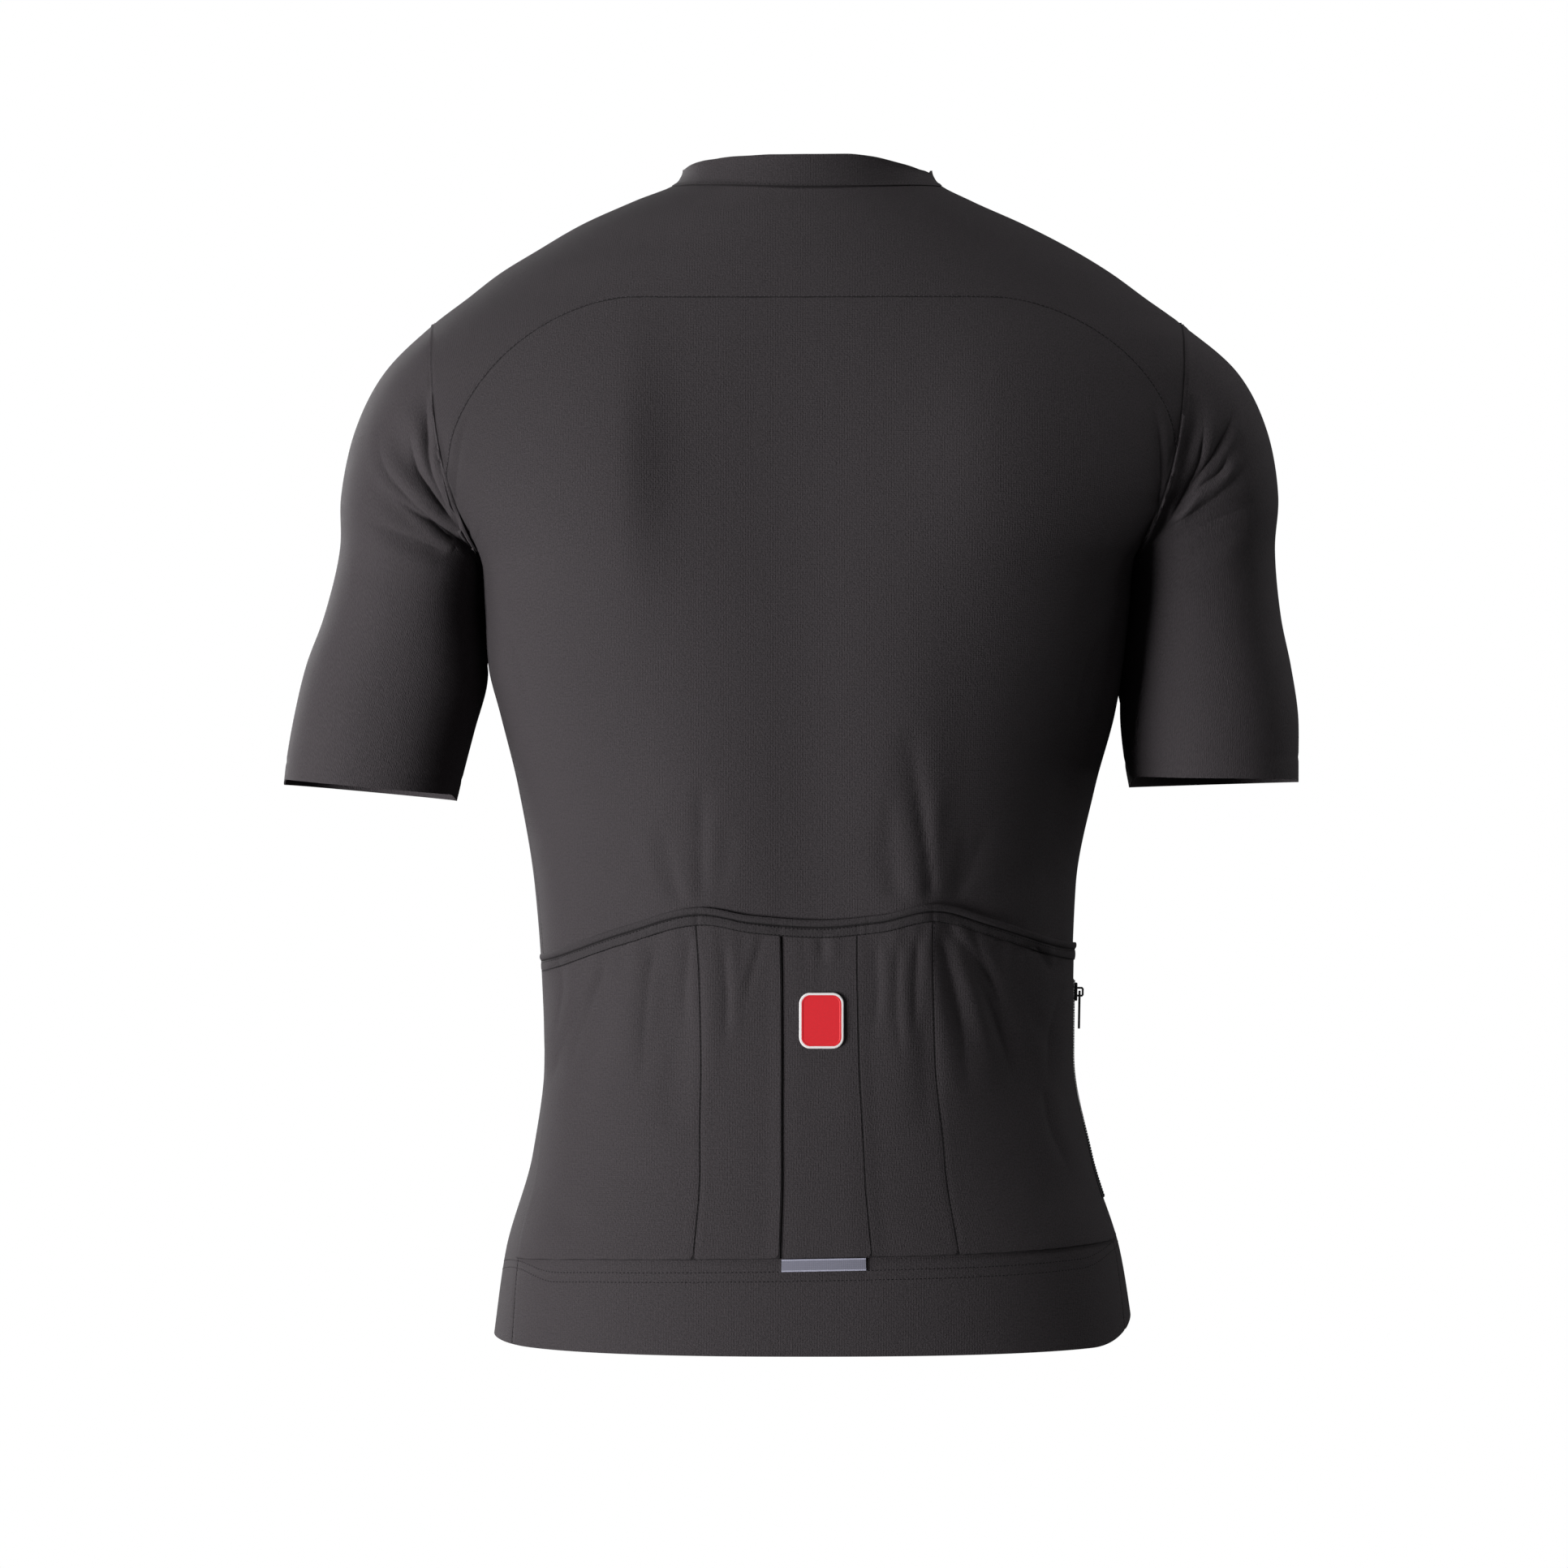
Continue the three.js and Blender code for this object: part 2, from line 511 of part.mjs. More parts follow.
// A front panel, from the side seam and armhole to the zip.
function frontPoints(side) {
  const sign = signOf[side];
  const edge = [...lowerHeights(sign * 90), ...frontEdge.slice(1)];
  const rows = edge.length - 1;
  const zipAngle = (z) => Math.abs(angleAt(sign * ZIP_HALF_WIDTH, z, true));
  const topOf = (k) => {
    if (k <= RIDGE_ROWS) return frontSeamPoint(side, k / RIDGE_ROWS);
    const t = (k - RIDGE_ROWS) / (FRONT_COLUMNS - RIDGE_ROWS);
    const angle = sign * lerp(FRONT_SEAM_NECK_ANGLE, zipAngle(-54), t);
    return { angle, z: neckHeight(angle) };
  };
  return grid(rows, FRONT_COLUMNS, (r, c) => {
    const k = side === "right" ? c : FRONT_COLUMNS - c;
    const share = k / FRONT_COLUMNS;
    const top = topOf(k);
    const w = smooth(Math.min(1, share * 1.8));
    const low = lerp(edge[0], hemHeight(sign * lerp(seamAngle[side](edge[0]), 180, share)), share > 0 ? 1 : 0);
    const armUp = (edge[r] - edge[LOWER_ROWS]) / (edge[rows] - edge[LOWER_ROWS]);
    const middle = lerp(edge[LOWER_ROWS], lerp(low, top.z, 0.68), w);
    const lowUp = (edge[r] - edge[0]) / (edge[LOWER_ROWS] - edge[0]);
    const evenUp = (r - LOWER_ROWS) / (rows - LOWER_ROWS);
    const z = r <= LOWER_ROWS ? lerp(low, middle, lowUp) : lerp(middle, top.z, lerp(armUp, evenUp, w));
    const start = z < UNDERARM_Z - 1e-6 ? seamAngle[side](z) : FRONT_EDGE;
    const even = lerp(start, zipAngle(z), share);
    const topShare = smooth(clamp(evenUp, 0, 1));
    const angle = k === 0 ? start : k === FRONT_COLUMNS ? zipAngle(z) : lerp(even, Math.abs(top.angle), topShare);
    return bodyPoint(sign * angle, z);
  });
}
const fronts = { left: frontPoints("left"), right: frontPoints("right") };

// A sleeve: from the armhole edge out over the sections of the table to the cuff.
function armholeRing(side) {
  const sign = signOf[side];
  const up = [...backEdge(side), ...yokeEdge(side).slice(1)].map((z) => bodyPoint(sign * 90, z));
  const down = [...yokeFrontEdge.slice(1), ...[...frontEdge].reverse().slice(1)].map((z) =>
    bodyPoint(sign * FRONT_EDGE, z),
  );
  const lengths = (points) => {
    const sums = [0];
    points.slice(1).forEach((p, i) => sums.push(sums[i] + p.distanceTo(points[i])));
    return sums.map((s) => s / sums[sums.length - 1]);
  };
  const backTurns = lengths(up).map((t) => 180 * (1 - t));
  const frontTurns = lengths([up[up.length - 1], ...down]).slice(1).map((t) => -180 * t);
  return { points: [...up, ...down], turns: [...backTurns, ...frontTurns] };
}
function sleeveSection(side, s, turn) {
  const sign = signOf[side];
  const [c, a] = [Math.cos(turn * degrees), Math.sin(turn * degrees)];
  const round = 2 / 2.15;
  const w = Math.sign(c) * Math.abs(c) ** round;
  const d = Math.abs(a) ** round;
  const x = (s.outX + s.inX) / 2 + (w * (s.outX - s.inX)) / 2;
  const z = (s.outZ + s.inZ) / 2 + (w * (s.outZ - s.inZ)) / 2;
  const y = s.fore + (a > 0 ? -s.back : s.front) * d;
  return new THREE.Vector3(sign * x, y, z);
}

// Moves a point of a sleeve out sideways until it is clear of the body's side.
function clearOfBody(side, p) {
  const n = section.square(p.z);
  const depth = p.y < 0 ? section.back(p.z) : section.front(p.z);
  const share = Math.min(1, Math.abs(p.y) / depth);
  const reach = section[side](p.z) * (1 - share ** n) ** (1 / n);
  const limit = (p.z > UNDERARM_Z ? Math.min(reach, armholeX(p.z)) : reach) + GAP_UNDER_ARM;
  if (Math.abs(p.x) < limit) p.x = signOf[side] * limit;
  return p;
}
function sleevePoints(side) {
  const sign = signOf[side];
  const ring = armholeRing(side);
  const table = SLEEVE_SECTIONS[side];
  const columns = ring.points.map((start, j) => {
    const turn = ring.turns[j];
    const through = table.map((s) => sleeveSection(side, s, turn));
    const inward = 90 - 26 * Math.abs(Math.sin(turn * degrees));
    const ghostAngle = sign * (turn > 0 ? inward : 180 - inward);
    const ghostZ = start.z + 27 * Math.max(0, Math.cos(turn * degrees));
    const onBody = bodyPoint(ghostAngle, ghostZ);
    const straight = start.clone().multiplyScalar(2).sub(through[0]);
    const under = smooth(clamp((Math.abs(turn) - 120) / 50, 0, 1));
    start.x += sign * UNDERARM_SHIFT * under;
    const lead = onBody.lerp(straight, smooth(clamp((Math.abs(turn) - 95) / 50, 0, 1)));
    const curve = new THREE.CatmullRomCurve3([lead, start, ...through], false, "centripetal");
    const pieces = table.length + 1;
    return Array.from({ length: table.length * SLEEVE_STEPS + 1 }, (_, i) =>
      i === 0 ? start : clearOfBody(side, curve.getPoint((1 + i / SLEEVE_STEPS) / pieces)),
    );
  });
  const rows = table.length * SLEEVE_STEPS;
  return grid(rows, columns.length - 1, (r, c) => columns[side === "left" ? columns.length - 1 - c : c][r]);
}
const sleeves = { left: sleevePoints("left"), right: sleevePoints("right") };

// The collar stands on the neckline, from zip to zip round the back.
const neckline = (() => {
  const last = (rows) => rows[rows.length - 1];
  const [back, stripLeft, stripRight] = yokeParts.map(last);
  const leftFront = last(fronts.left).slice(0, FRONT_COLUMNS - RIDGE_ROWS + 1);
  const rightFront = last(fronts.right).slice(RIDGE_ROWS);
  return [...leftFront, ...stripLeft.slice(1), ...back.slice(1), ...stripRight.slice(1), ...rightFront.slice(1)];
})();
const collarHeight = (base) => {
  const c = -base.y / Math.hypot(base.x, base.y);
  return lerp(COLLAR_HEIGHT.side, c > 0 ? COLLAR_HEIGHT.back : COLLAR_HEIGHT.front, smooth(Math.abs(c)));
};
const collarPoints = grid(COLLAR_ROWS, neckline.length - 1, (r, c) => {
  const base = neckline[c];
  const t = r / COLLAR_ROWS;
  const inward = (COLLAR_LEAN * Math.sin((Math.PI / 2) * t)) / Math.hypot(base.x, base.y);
  const x = Math.abs(base.x) <= ZIP_HALF_WIDTH + 0.01 ? base.x : base.x * (1 - inward);
  return new THREE.Vector3(x, base.y * (1 - inward), base.z + collarHeight(base) * t);
});

// The front zip fills the gap between the fronts and between the ends of the collar.
const frontZipPoints = (() => {
  const between = (right, left) => {
    const middle = right.clone().lerp(left, 0.5);
    middle.x = 0;
    return [right, middle, left];
  };
  const lower = fronts.right.map((row, r) => between(row[FRONT_COLUMNS], fronts.left[r][0]));
  const upper = collarPoints.slice(1).map((row) => between(row[row.length - 1], row[0]));
  return [...lower, ...upper];
})();

// The side zip lies on the right front beside the side seam, made from that panel's own points.
const sideZipPoints = (() => {
  const pointAt = (z, share) => {
    const r = fronts.right.findIndex((row) => row[0].z > z);
    const t = (z - fronts.right[r - 1][0].z) / (fronts.right[r][0].z - fronts.right[r - 1][0].z);
    const seam = fronts.right[r - 1][0].clone().lerp(fronts.right[r][0], t);
    const next = fronts.right[r - 1][1].clone().lerp(fronts.right[r][1], t);
    return seam.lerp(next, share);
  };
  const heights = steps(SIDE_ZIP.bottomZ, SIDE_ZIP.topZ, SIDE_ZIP.rows);
  return grid(SIDE_ZIP.rows, 2, (r, c) => pointAt(heights[r], lerp(SIDE_ZIP.from, SIDE_ZIP.to, c / 2)));
})();

const wasm = await Module();
wasm.setup();
function solidOf(geometry) {
  const bare = new THREE.BufferGeometry();
  bare.setAttribute("position", geometry.getAttribute("position").clone());
  if (geometry.index) bare.setIndex(geometry.index.clone());
  const merged = mergeVertices(bare, 1e-4);
  const vertProperties = new Float32Array(merged.attributes.position.array);
  return new wasm.Manifold(new wasm.Mesh({ numProp: 3, vertProperties, triVerts: new Uint32Array(merged.index.array) }));
}
function geometryOf(solid) {
  const mesh = solid.getMesh();
  const geometry = new THREE.BufferGeometry();
  geometry.setAttribute("position", new THREE.BufferAttribute(new Float32Array(mesh.vertProperties), 3));
  geometry.setIndex(new THREE.BufferAttribute(new Uint32Array(mesh.triVerts), 1));
  return geometry;
}
const outline = (points) => new THREE.Shape(points.map(([x, y]) => new THREE.Vector2(x, y)));
function roundedPlate(width, height, corner) {
  const [w, h] = [width / 2, height / 2];
  const shape = new THREE.Shape();
  shape.moveTo(-w + corner, -h);
  shape.lineTo(w - corner, -h);
  shape.absarc(w - corner, -h + corner, corner, -Math.PI / 2, 0);
  shape.absarc(w - corner, h - corner, corner, 0, Math.PI / 2);
  shape.absarc(-w + corner, h - corner, corner, Math.PI / 2, Math.PI);
  shape.absarc(-w + corner, -h + corner, corner, Math.PI, Math.PI * 1.5);
  return shape;
}
const extruded = (shape, depth, bevel = 0) =>
  new THREE.ExtrudeGeometry(shape, {
    depth: depth - 2 * bevel,
    bevelEnabled: bevel > 0,
    bevelThickness: bevel,
    bevelSize: bevel,
    bevelOffset: -bevel,
    bevelSegments: 1,
    curveSegments: 4,
  }).translate(0, 0, bevel);

// A slider: a rounded plate with an arch on its face that the pull's bar passes under.
// Its own Y runs along the zip and Z away from the cloth.
function sliderGeometry() {
  const plate = solidOf(extruded(roundedPlate(SLIDER.width, SLIDER.length, SLIDER.corner), SLIDER.thick, 0.3));
  const [inner, foot] = [BAIL.opening / 2, -BAIL.overlap];
  const [outer, top] = [inner + BAIL.thick, BAIL.gap + BAIL.thick];
  const bevel = BAIL.thick * 0.8;
  const arch = outline([
    [-outer, foot],
    [-inner, foot],
    [-inner, BAIL.gap],
    [inner, BAIL.gap],
    [inner, foot],
    [outer, foot],
    [outer, top - bevel],
    [outer - bevel, top],
    [-outer + bevel, top],
    [-outer, top - bevel],
  ]);
  const bail = extruded(arch, BAIL.width).translate(0, 0, -BAIL.width / 2);
  const turned = new THREE.Matrix4().makeBasis(
    new THREE.Vector3(0, 1, 0),
    new THREE.Vector3(0, 0, 1),
    new THREE.Vector3(1, 0, 0),
  );
  bail.applyMatrix4(turned).translate(0, 0, SLIDER.thick);
  return geometryOf(plate.add(solidOf(bail)));
}

// A pull, about the middle of its bar: a plate with an eye below the bar.
function pullGeometry() {
  const top = PULL.bar / 2;
  const shape = roundedPlate(PULL.width, PULL.length, PULL.round);
  const eye = new THREE.Path();
  const middle = PULL.length / 2 - top;
  const [w, high, low] = [PULL.eyeWidth / 2, middle - top, middle - PULL.eyeBottom];
  eye.moveTo(-w, low);
  eye.lineTo(-w, high);
  eye.lineTo(w, high);
  eye.lineTo(w, low);
  eye.closePath();
  shape.holes.push(eye);
  return extruded(shape, PULL.thick).translate(0, -middle, -PULL.thick / 2);
}

const material = (colour, roughness, metalness = 0) =>
  new THREE.MeshStandardMaterial({ color: colour, roughness, metalness });
const looks = {
  cloth: material(0x343236, 0.85),
  binding: material(0x2b2a2d, 0.8),
  reflective: material(0x9a9aa2, 0.4),
  patch: material(0xb3202a, 0.7),
  zip: material(0x1d1c1f, 0.6),
  metal: material(0x3a3a3e, 0.35, 0.9),
};
const jersey = new THREE.Group();
function add(name, geometry, look) {
  const mesh = new THREE.Mesh(geometry, look);
  mesh.name = name;
  jersey.add(mesh);
  return mesh;
}

// Cloth panels
const clothParts = [[backPoints], yokeParts, [fronts.left], [fronts.right], [sleeves.left], [sleeves.right]];
for (const grids of [...clothParts, [collarPoints], [frontZipPoints]]) noteNormals(trianglesOf(grids));
add("back", wallOf([backPoints], { folds: true }), looks.cloth);
add("yoke", wallOf(yokeParts), looks.cloth);
add("front_left", wallOf([fronts.left]), looks.cloth);
add("front_right", wallOf([fronts.right]), looks.cloth);
add("collar", wallOf([collarPoints]), looks.cloth);
add("sleeve_left", wallOf([sleeves.left], { folds: true }), looks.cloth);
add("sleeve_right", wallOf([sleeves.right], { folds: true }), looks.cloth);

// Pockets: three pieces side by side under one bound edge, all made from the points of the back
const layer = (points, thick) => wallOf([points], { thick, lift: LAYER_GAP + thick, folds: true, ownShare: 1e-3 });
const POCKET_FROM = HEM_ROWS;
const POCKET_TO = HEM_ROWS + POCKET_ROWS;
const pocketPart = (from, to) => partOf(backPoints, POCKET_FROM, POCKET_TO, from, to);
add("pocket_left", layer(pocketPart(0, STRIP_FIRST), POCKET_THICK), looks.cloth);
add("pocket_centre", layer(pocketPart(STRIP_FIRST, STRIP_LAST), POCKET_THICK), looks.cloth);
add("pocket_right", layer(pocketPart(STRIP_LAST, BACK_COLUMNS), POCKET_THICK), looks.cloth);
const bindingPart = partOf(backPoints, POCKET_TO, POCKET_TO + BINDING_ROWS, 0, BACK_COLUMNS);
add("pocket_binding", layer(bindingPart, BINDING_THICK), looks.binding);

// Reflective tab under the middle pocket, and a plain patch on it
const tabRows = [TAB.height + SEAM_GAP, SEAM_GAP].map((down) =>
  backPoints[HEM_ROWS].slice(STRIP_FIRST, STRIP_LAST + 1).map((p, i) => {
    const below = backPoints[HEM_ROWS - 1][STRIP_FIRST + i];
    return p.clone().lerp(below, down / p.distanceTo(below));
  }),
);
add("reflective_tab", wallOf([tabRows], { thick: TAB.thick, lift: LAYER_GAP + TAB.thick }), looks.reflective);

// Sets a mesh on a surface: its Y along the given up direction and its Z along the outward one.
function standOn(mesh, point, up, out, tilt = 0) {
  const across = new THREE.Vector3().crossVectors(up, out).normalize();
  const trueUp = new THREE.Vector3().crossVectors(out, across).normalize();
  mesh.quaternion.setFromRotationMatrix(new THREE.Matrix4().makeBasis(across, trueUp, out));
  mesh.rotateX(-tilt * degrees);
  mesh.position.copy(point);
  return mesh;
}
const stripMiddle = (backAcross[STRIP_FIRST] + backAcross[STRIP_LAST]) / 2;
const patchAt = (z) => bodyPoint((stripMiddle / 90) * seamAngle.right(z), z);
const patchUp = patchAt(PATCH.z + PATCH.height / 2).sub(patchAt(PATCH.z - PATCH.height / 2)).normalize();
const patchSide = new THREE.Vector3(1, 0, 0);
const patchOut = new THREE.Vector3().crossVectors(patchSide, patchUp).normalize();
const patchLift = LAYER_GAP + POCKET_THICK + SEAM_GAP + 0.15;
standOn(
  add("patch", extruded(roundedPlate(PATCH.width, PATCH.height, PATCH.corner), PATCH.thick), looks.patch),
  patchAt(PATCH.z).addScaledVector(patchOut, patchLift),
  patchUp,
  patchOut,
);

// Zips: a tape, a slider that stays where it is and a pull that hangs from it
function addSliderAndPull(place, strip, row, share, lift, tilt) {
  const [below, above] = [strip[row - 1][1], strip[row][1]];
  const middle = below.clone().lerp(above, share);
  const up = above.clone().sub(below).normalize();
  const across = strip[row][2].clone().sub(strip[row][0]).normalize();
  const out = new THREE.Vector3().crossVectors(across, up).normalize();
  const seat = middle.clone().addScaledVector(out, lift + SLIDER_CLEAR);
  standOn(add(`zip_slider_${place}`, sliderGeometry(), looks.metal), seat, up, out);
  const pivot = seat.clone().addScaledVector(out, SLIDER.thick + BAIL.gap / 2);
  standOn(add(`zip_pull_${place}`, pullGeometry(), looks.metal), pivot, up, out, tilt);
}
add("zip_tape_front", wallOf([frontZipPoints]), looks.zip);
const sideLift = LAYER_GAP + SIDE_ZIP.thick;
add("zip_tape_side", wallOf([sideZipPoints], { thick: SIDE_ZIP.thick, lift: sideLift }), looks.zip);
addSliderAndPull("front", frontZipPoints, frontZipPoints.length - 1, 0.6, 0, FRONT_PULL_LIFT);
const sideRow = sideZipPoints.findIndex((row) => row[1].z > SIDE_SLIDER_Z);
addSliderAndPull("side", sideZipPoints, sideRow, 0.5, sideLift, 0);

export default jersey;
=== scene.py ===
"""Looks of a cycling jersey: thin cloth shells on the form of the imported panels, with creases, seams,
stitches, zip teeth and knit, and a plain studio. Tables and surfaces are in millimetres, Blender is in metres.
"""

import math

import bmesh
import bpy
import numpy as np
from mathutils.bvhtree import BVHTree
from mathutils.kdtree import KDTree
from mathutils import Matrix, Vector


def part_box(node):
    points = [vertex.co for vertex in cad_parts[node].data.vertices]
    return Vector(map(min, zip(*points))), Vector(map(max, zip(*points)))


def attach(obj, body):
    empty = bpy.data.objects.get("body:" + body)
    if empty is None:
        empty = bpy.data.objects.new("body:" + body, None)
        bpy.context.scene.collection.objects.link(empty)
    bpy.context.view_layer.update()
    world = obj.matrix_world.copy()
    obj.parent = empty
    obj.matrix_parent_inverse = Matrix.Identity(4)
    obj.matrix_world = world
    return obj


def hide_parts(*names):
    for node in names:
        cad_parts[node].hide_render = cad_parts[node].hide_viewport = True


bl_info = {
    "name": "Cycling jersey",
    "version": (1, 0, 0),
    "blender": (4, 5, 0),
    "location": "3D View > Sidebar > Jersey",
    "description": "Builds a short-sleeved cycling jersey in its worn shape",
    "category": "Add Mesh",
}

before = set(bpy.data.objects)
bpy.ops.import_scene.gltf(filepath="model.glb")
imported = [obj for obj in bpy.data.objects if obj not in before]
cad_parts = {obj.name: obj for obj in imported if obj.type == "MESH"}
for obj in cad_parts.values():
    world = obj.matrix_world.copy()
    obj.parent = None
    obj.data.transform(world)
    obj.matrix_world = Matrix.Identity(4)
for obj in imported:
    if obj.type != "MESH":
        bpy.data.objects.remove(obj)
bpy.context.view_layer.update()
MM = 0.001

# Heights of the main lines, as in the part's source
UNDERARM_Z = -206
SHOULDER_POINT_Z = -77
SHOULDER_POINT_X = 206
UNDERARM_X = 180
ARMHOLE_BOW = 8
GAP_UNDER_ARM = 1.6
UNDERARM_SHIFT = 1.2
FRONT_EDGE = 90.001

# Body sections: half widths to the left and right, depths to the back and front, squareness
BODY_COLUMNS = ("z", "left", "right", "back", "front", "square")
BODY_SECTIONS = [
    (12, 64, 64, 52, 44, 2),
    (0, 73, 73, 60, 50, 2),
    (-10, 97, 92, 66, 55, 2),
    (-23, 126, 121, 75, 60, 2),
    (-37, 150, 148, 83, 66, 2),
    (-50, 171, 169, 90, 71, 2.05),
    (-64, 189, 188, 96, 77, 2.1),
    (-77, 206, 206, 101, 83, 2.15),
    (-91, 221, 222, 106, 89, 2.2),
    (-110, 233, 234, 111, 96, 2.25),
    (-135, 238, 239, 115, 105, 2.3),
    (-160, 232, 233, 118, 112, 2.35),
    (-185, 209, 209, 119, 117, 2.5),
    (-193, 202, 202, 119, 118, 2.55),
    (-200, 193, 193, 119, 118.5, 2.6),
    (-204, 186, 186, 119, 119, 2.65),
    (-206, 180, 180, 119, 119, 2.7),
    (-235, 178.5, 178, 117, 119, 2.6),
    (-266, 176.5, 174.5, 114, 117, 2.5),
    (-293, 170, 170, 111, 114, 2.45),
    (-334, 160, 159, 105, 110, 2.4),
    (-388, 151, 148.5, 98, 104, 2.35),
    (-440, 147, 146.5, 94, 100, 2.3),
    (-482, 145.5, 146, 93.5, 99, 2.3),
    (-536, 152, 156, 99, 101, 2.3),
    (-590, 167, 173, 111, 105, 2.35),
    (-640, 174, 181, 119, 108, 2.4),
]
NECK_HALF_WIDTH = 73
NECK_BACK = 64
NECK_FRONT = 73
COLLAR_HEIGHT = {"back": 19, "side": 8, "front": 18}
COLLAR_LEAN = 4
# How much lower the collar's top edge is at the back, by place across
COLLAR_DIP = [
    (-80, 0.8),
    (-69, 1.4),
    (-61, 2.6),
    (-52, 3.9),
    (-37, 4.2),
    (-20, 2.9),
    (0, 1.9),
    (22, 2.5),
    (36, 4.0),
    (54, 5.9),
    (64, 5.6),
    (69, 4.3),
    (80, 1.5),
]
# How far the collar's lower edge reaches down over the yoke in the middle and at the sides
COLLAR_LAP = (1.3, 3.0)
YOKE_SEAM_Z = -70
YOKE_FLAT = {"left": 94, "right": 100}
YOKE_END_Z = {"left": -166, "right": -151}
YOKE_ROUND = 1.8
FRONT_SEAM_DROP = 8
FRONT_SEAM_NECK_ANGLE = 118
HEM_Z = {"back": -637, "left": -635, "right": -624, "front": -608}
SIDE_SEAM_ANGLES = [
    (-206, 90, 90),
    (-270, 86, 87),
    (-340, 82, 85),
    (-420, 79, 84),
    (-500, 78, 84),
    (-560, 72, 79),
    (-640, 66, 73),
]
POCKET_TOP = [
    (-160, -430),
    (-141, -424),
    (-100, -409),
    (-57, -398),
    (-30, -402.5),
    (6, -405),
    (38, -402),
    (66, -396),
    (100, -405),
    (141, -418),
    (160, -422),
]
POCKET_BOTTOM = [(-170, -592), (-110, -588), (0, -585.6), (110, -584), (170, -582)]
BINDING_HEIGHT = 9.7
# Places across the back, at the pockets' top and foot, of the side seams, dividers and folded edges
POCKET_LINES = {
    "left_seam": (-90, -90),
    "left_stitch": (-22.9, -23.2),
    "left_fold": (-4.5, -4.5),
    "right_fold": (8.3, 10.1),
    "right_stitch": (24.7, 28.4),
    "right_seam": (90, 90),
}
ZIP_HALF_WIDTH = 4
# Where the folds of the middle piece and the dividers go under the binding, across the back
NOTCHES = (-59, -15.5, 26.5, 32, 66)

# Sleeve sections from armhole to cuff: outer and inner point, depth to back and front, middle's shift forward
SLEEVE_SECTIONS = {
    "left": [
        (234, -104.5, 180, -211, 67, 64, 0),
        (250, -135, 180, -217, 64, 63, 2),
        (258.5, -172, 180, -227, 61, 61, 5),
        (259.5, -202, 180, -240, 59, 60, 8),
        (268.5, -239, 178, -257, 57.5, 58, 10),
        (278.5, -266, 178, -276, 56.5, 57, 11),
        (285, -293, 185, -302, 55, 55, 11),
        (289.3, -317, 191.5, -327, 53.5, 53.5, 11),
        (291, -332.5, 195, -341.5, 52.5, 52.5, 11),
    ],
    "right": [
        (238, -104.5, 180, -211, 67, 64, 0),
        (254, -135, 180, -217, 64, 63, 2),
        (261, -172, 179, -227, 61, 61, 5),
        (259.5, -202, 178, -240, 59, 60, 8),
        (263, -239, 176, -255, 57.5, 58, 10),
        (268.6, -266, 174.5, -273, 56.5, 57, 11),
        (272.7, -293, 174, -296, 55, 55, 11),
        (273, -317, 176.5, -320, 53.5, 53.5, 11),
        (273, -331, 179, -334, 52.5, 52.5, 11),
    ],
}

# How far the back of each cuff lies above the solid's, at its inner and outer end
CUFF_RAISE = {"left": (3.4, 3.2), "right": (5.6, 1.6)}

# Creases that the solids have too: troughs in the back view, each a bowed line
FOLDS = [
    (-189, -170, -208, -118, 5, 2.2, 7),
    (-190, -180, -228, -132, 7, 2.2, 7),
    (-189, -194, -238, -165, 7, 2.4, 8),
    (192, -168, 212, -122, -5, 2.0, 7),
    (190, -182, 233, -138, -7, 2.2, 7),
    (187, -196, 240, -172, -7, 2.2, 8),
    (60, -392, 54, -300, 2, 2.0, 9),
    (-60, -392, -62, -335, 2, 1.2, 9),
    (58, -408, 64, -520, 3, 1.8, 9),
    (96, -420, 122, -505, -6, 1.6, 9),
    (-62, -415, -72, -520, -4, 1.6, 10),
    (-112, -432, -132, -520, 5, 1.4, 8),
]
# Finer creases, by side of the jersey seen: x0, z0, x1, z1, bow, depth (a ridge where negative), width
BACK_CREASES = [
    (-193, -176, -214, -128, 3, -1.0, 4.5),
    (-191, -187, -232, -148, 5, -1.1, 5),
    (-186, -206, -240, -186, 6, 1.3, 5),
    (-200, -215, -250, -214, 6, 0.7, 7),
    (196, -176, 218, -130, -3, -1.0, 4.5),
    (190, -190, 236, -154, -5, -1.1, 5),
    (186, -208, 240, -190, -6, 1.2, 5),
    (196, -216, 246, -218, -5, 0.7, 7),
    (68, -392, 70, -330, 2, -0.9, 5),
    (76, -398, 84, -352, -3, 0.8, 5),
    (48, -396, 40, -350, 3, 0.7, 5),
    (-50, -394, -44, -350, -3, 0.6, 5),
    (-70, -396, -80, -352, 3, 0.6, 5),
    (66, -408, 78, -500, -3, -0.9, 6),
    (74, -408, 96, -486, -6, 0.9, 6),
    (112, -420, 138, -480, -5, 0.7, 5),
    (-56, -410, -52, -500, 2, -0.7, 6),
    (-76, -414, -92, -500, 4, 0.7, 6),
    (-124, -438, -140, -500, 3, 0.7, 5),
    (-136, -440, -146, -478, 2, -0.5, 5),
    (-176, -205, -150, -232, -4, 1.1, 7),
    (176, -210, 146, -240, 4, 1.1, 7),
    (-172, -222, -160, -262, -3, 0.8, 7),
    (170, -232, 158, -282, 3, 0.8, 8),
    (-140, -378, -100, -392, -4, 0.7, 9),
    (138, -372, 104, -388, 4, 0.7, 9),
    (-150, -560, -120, -574, 3, 0.7, 8),
    (152, -548, 122, -562, -3, 0.8, 8),
]
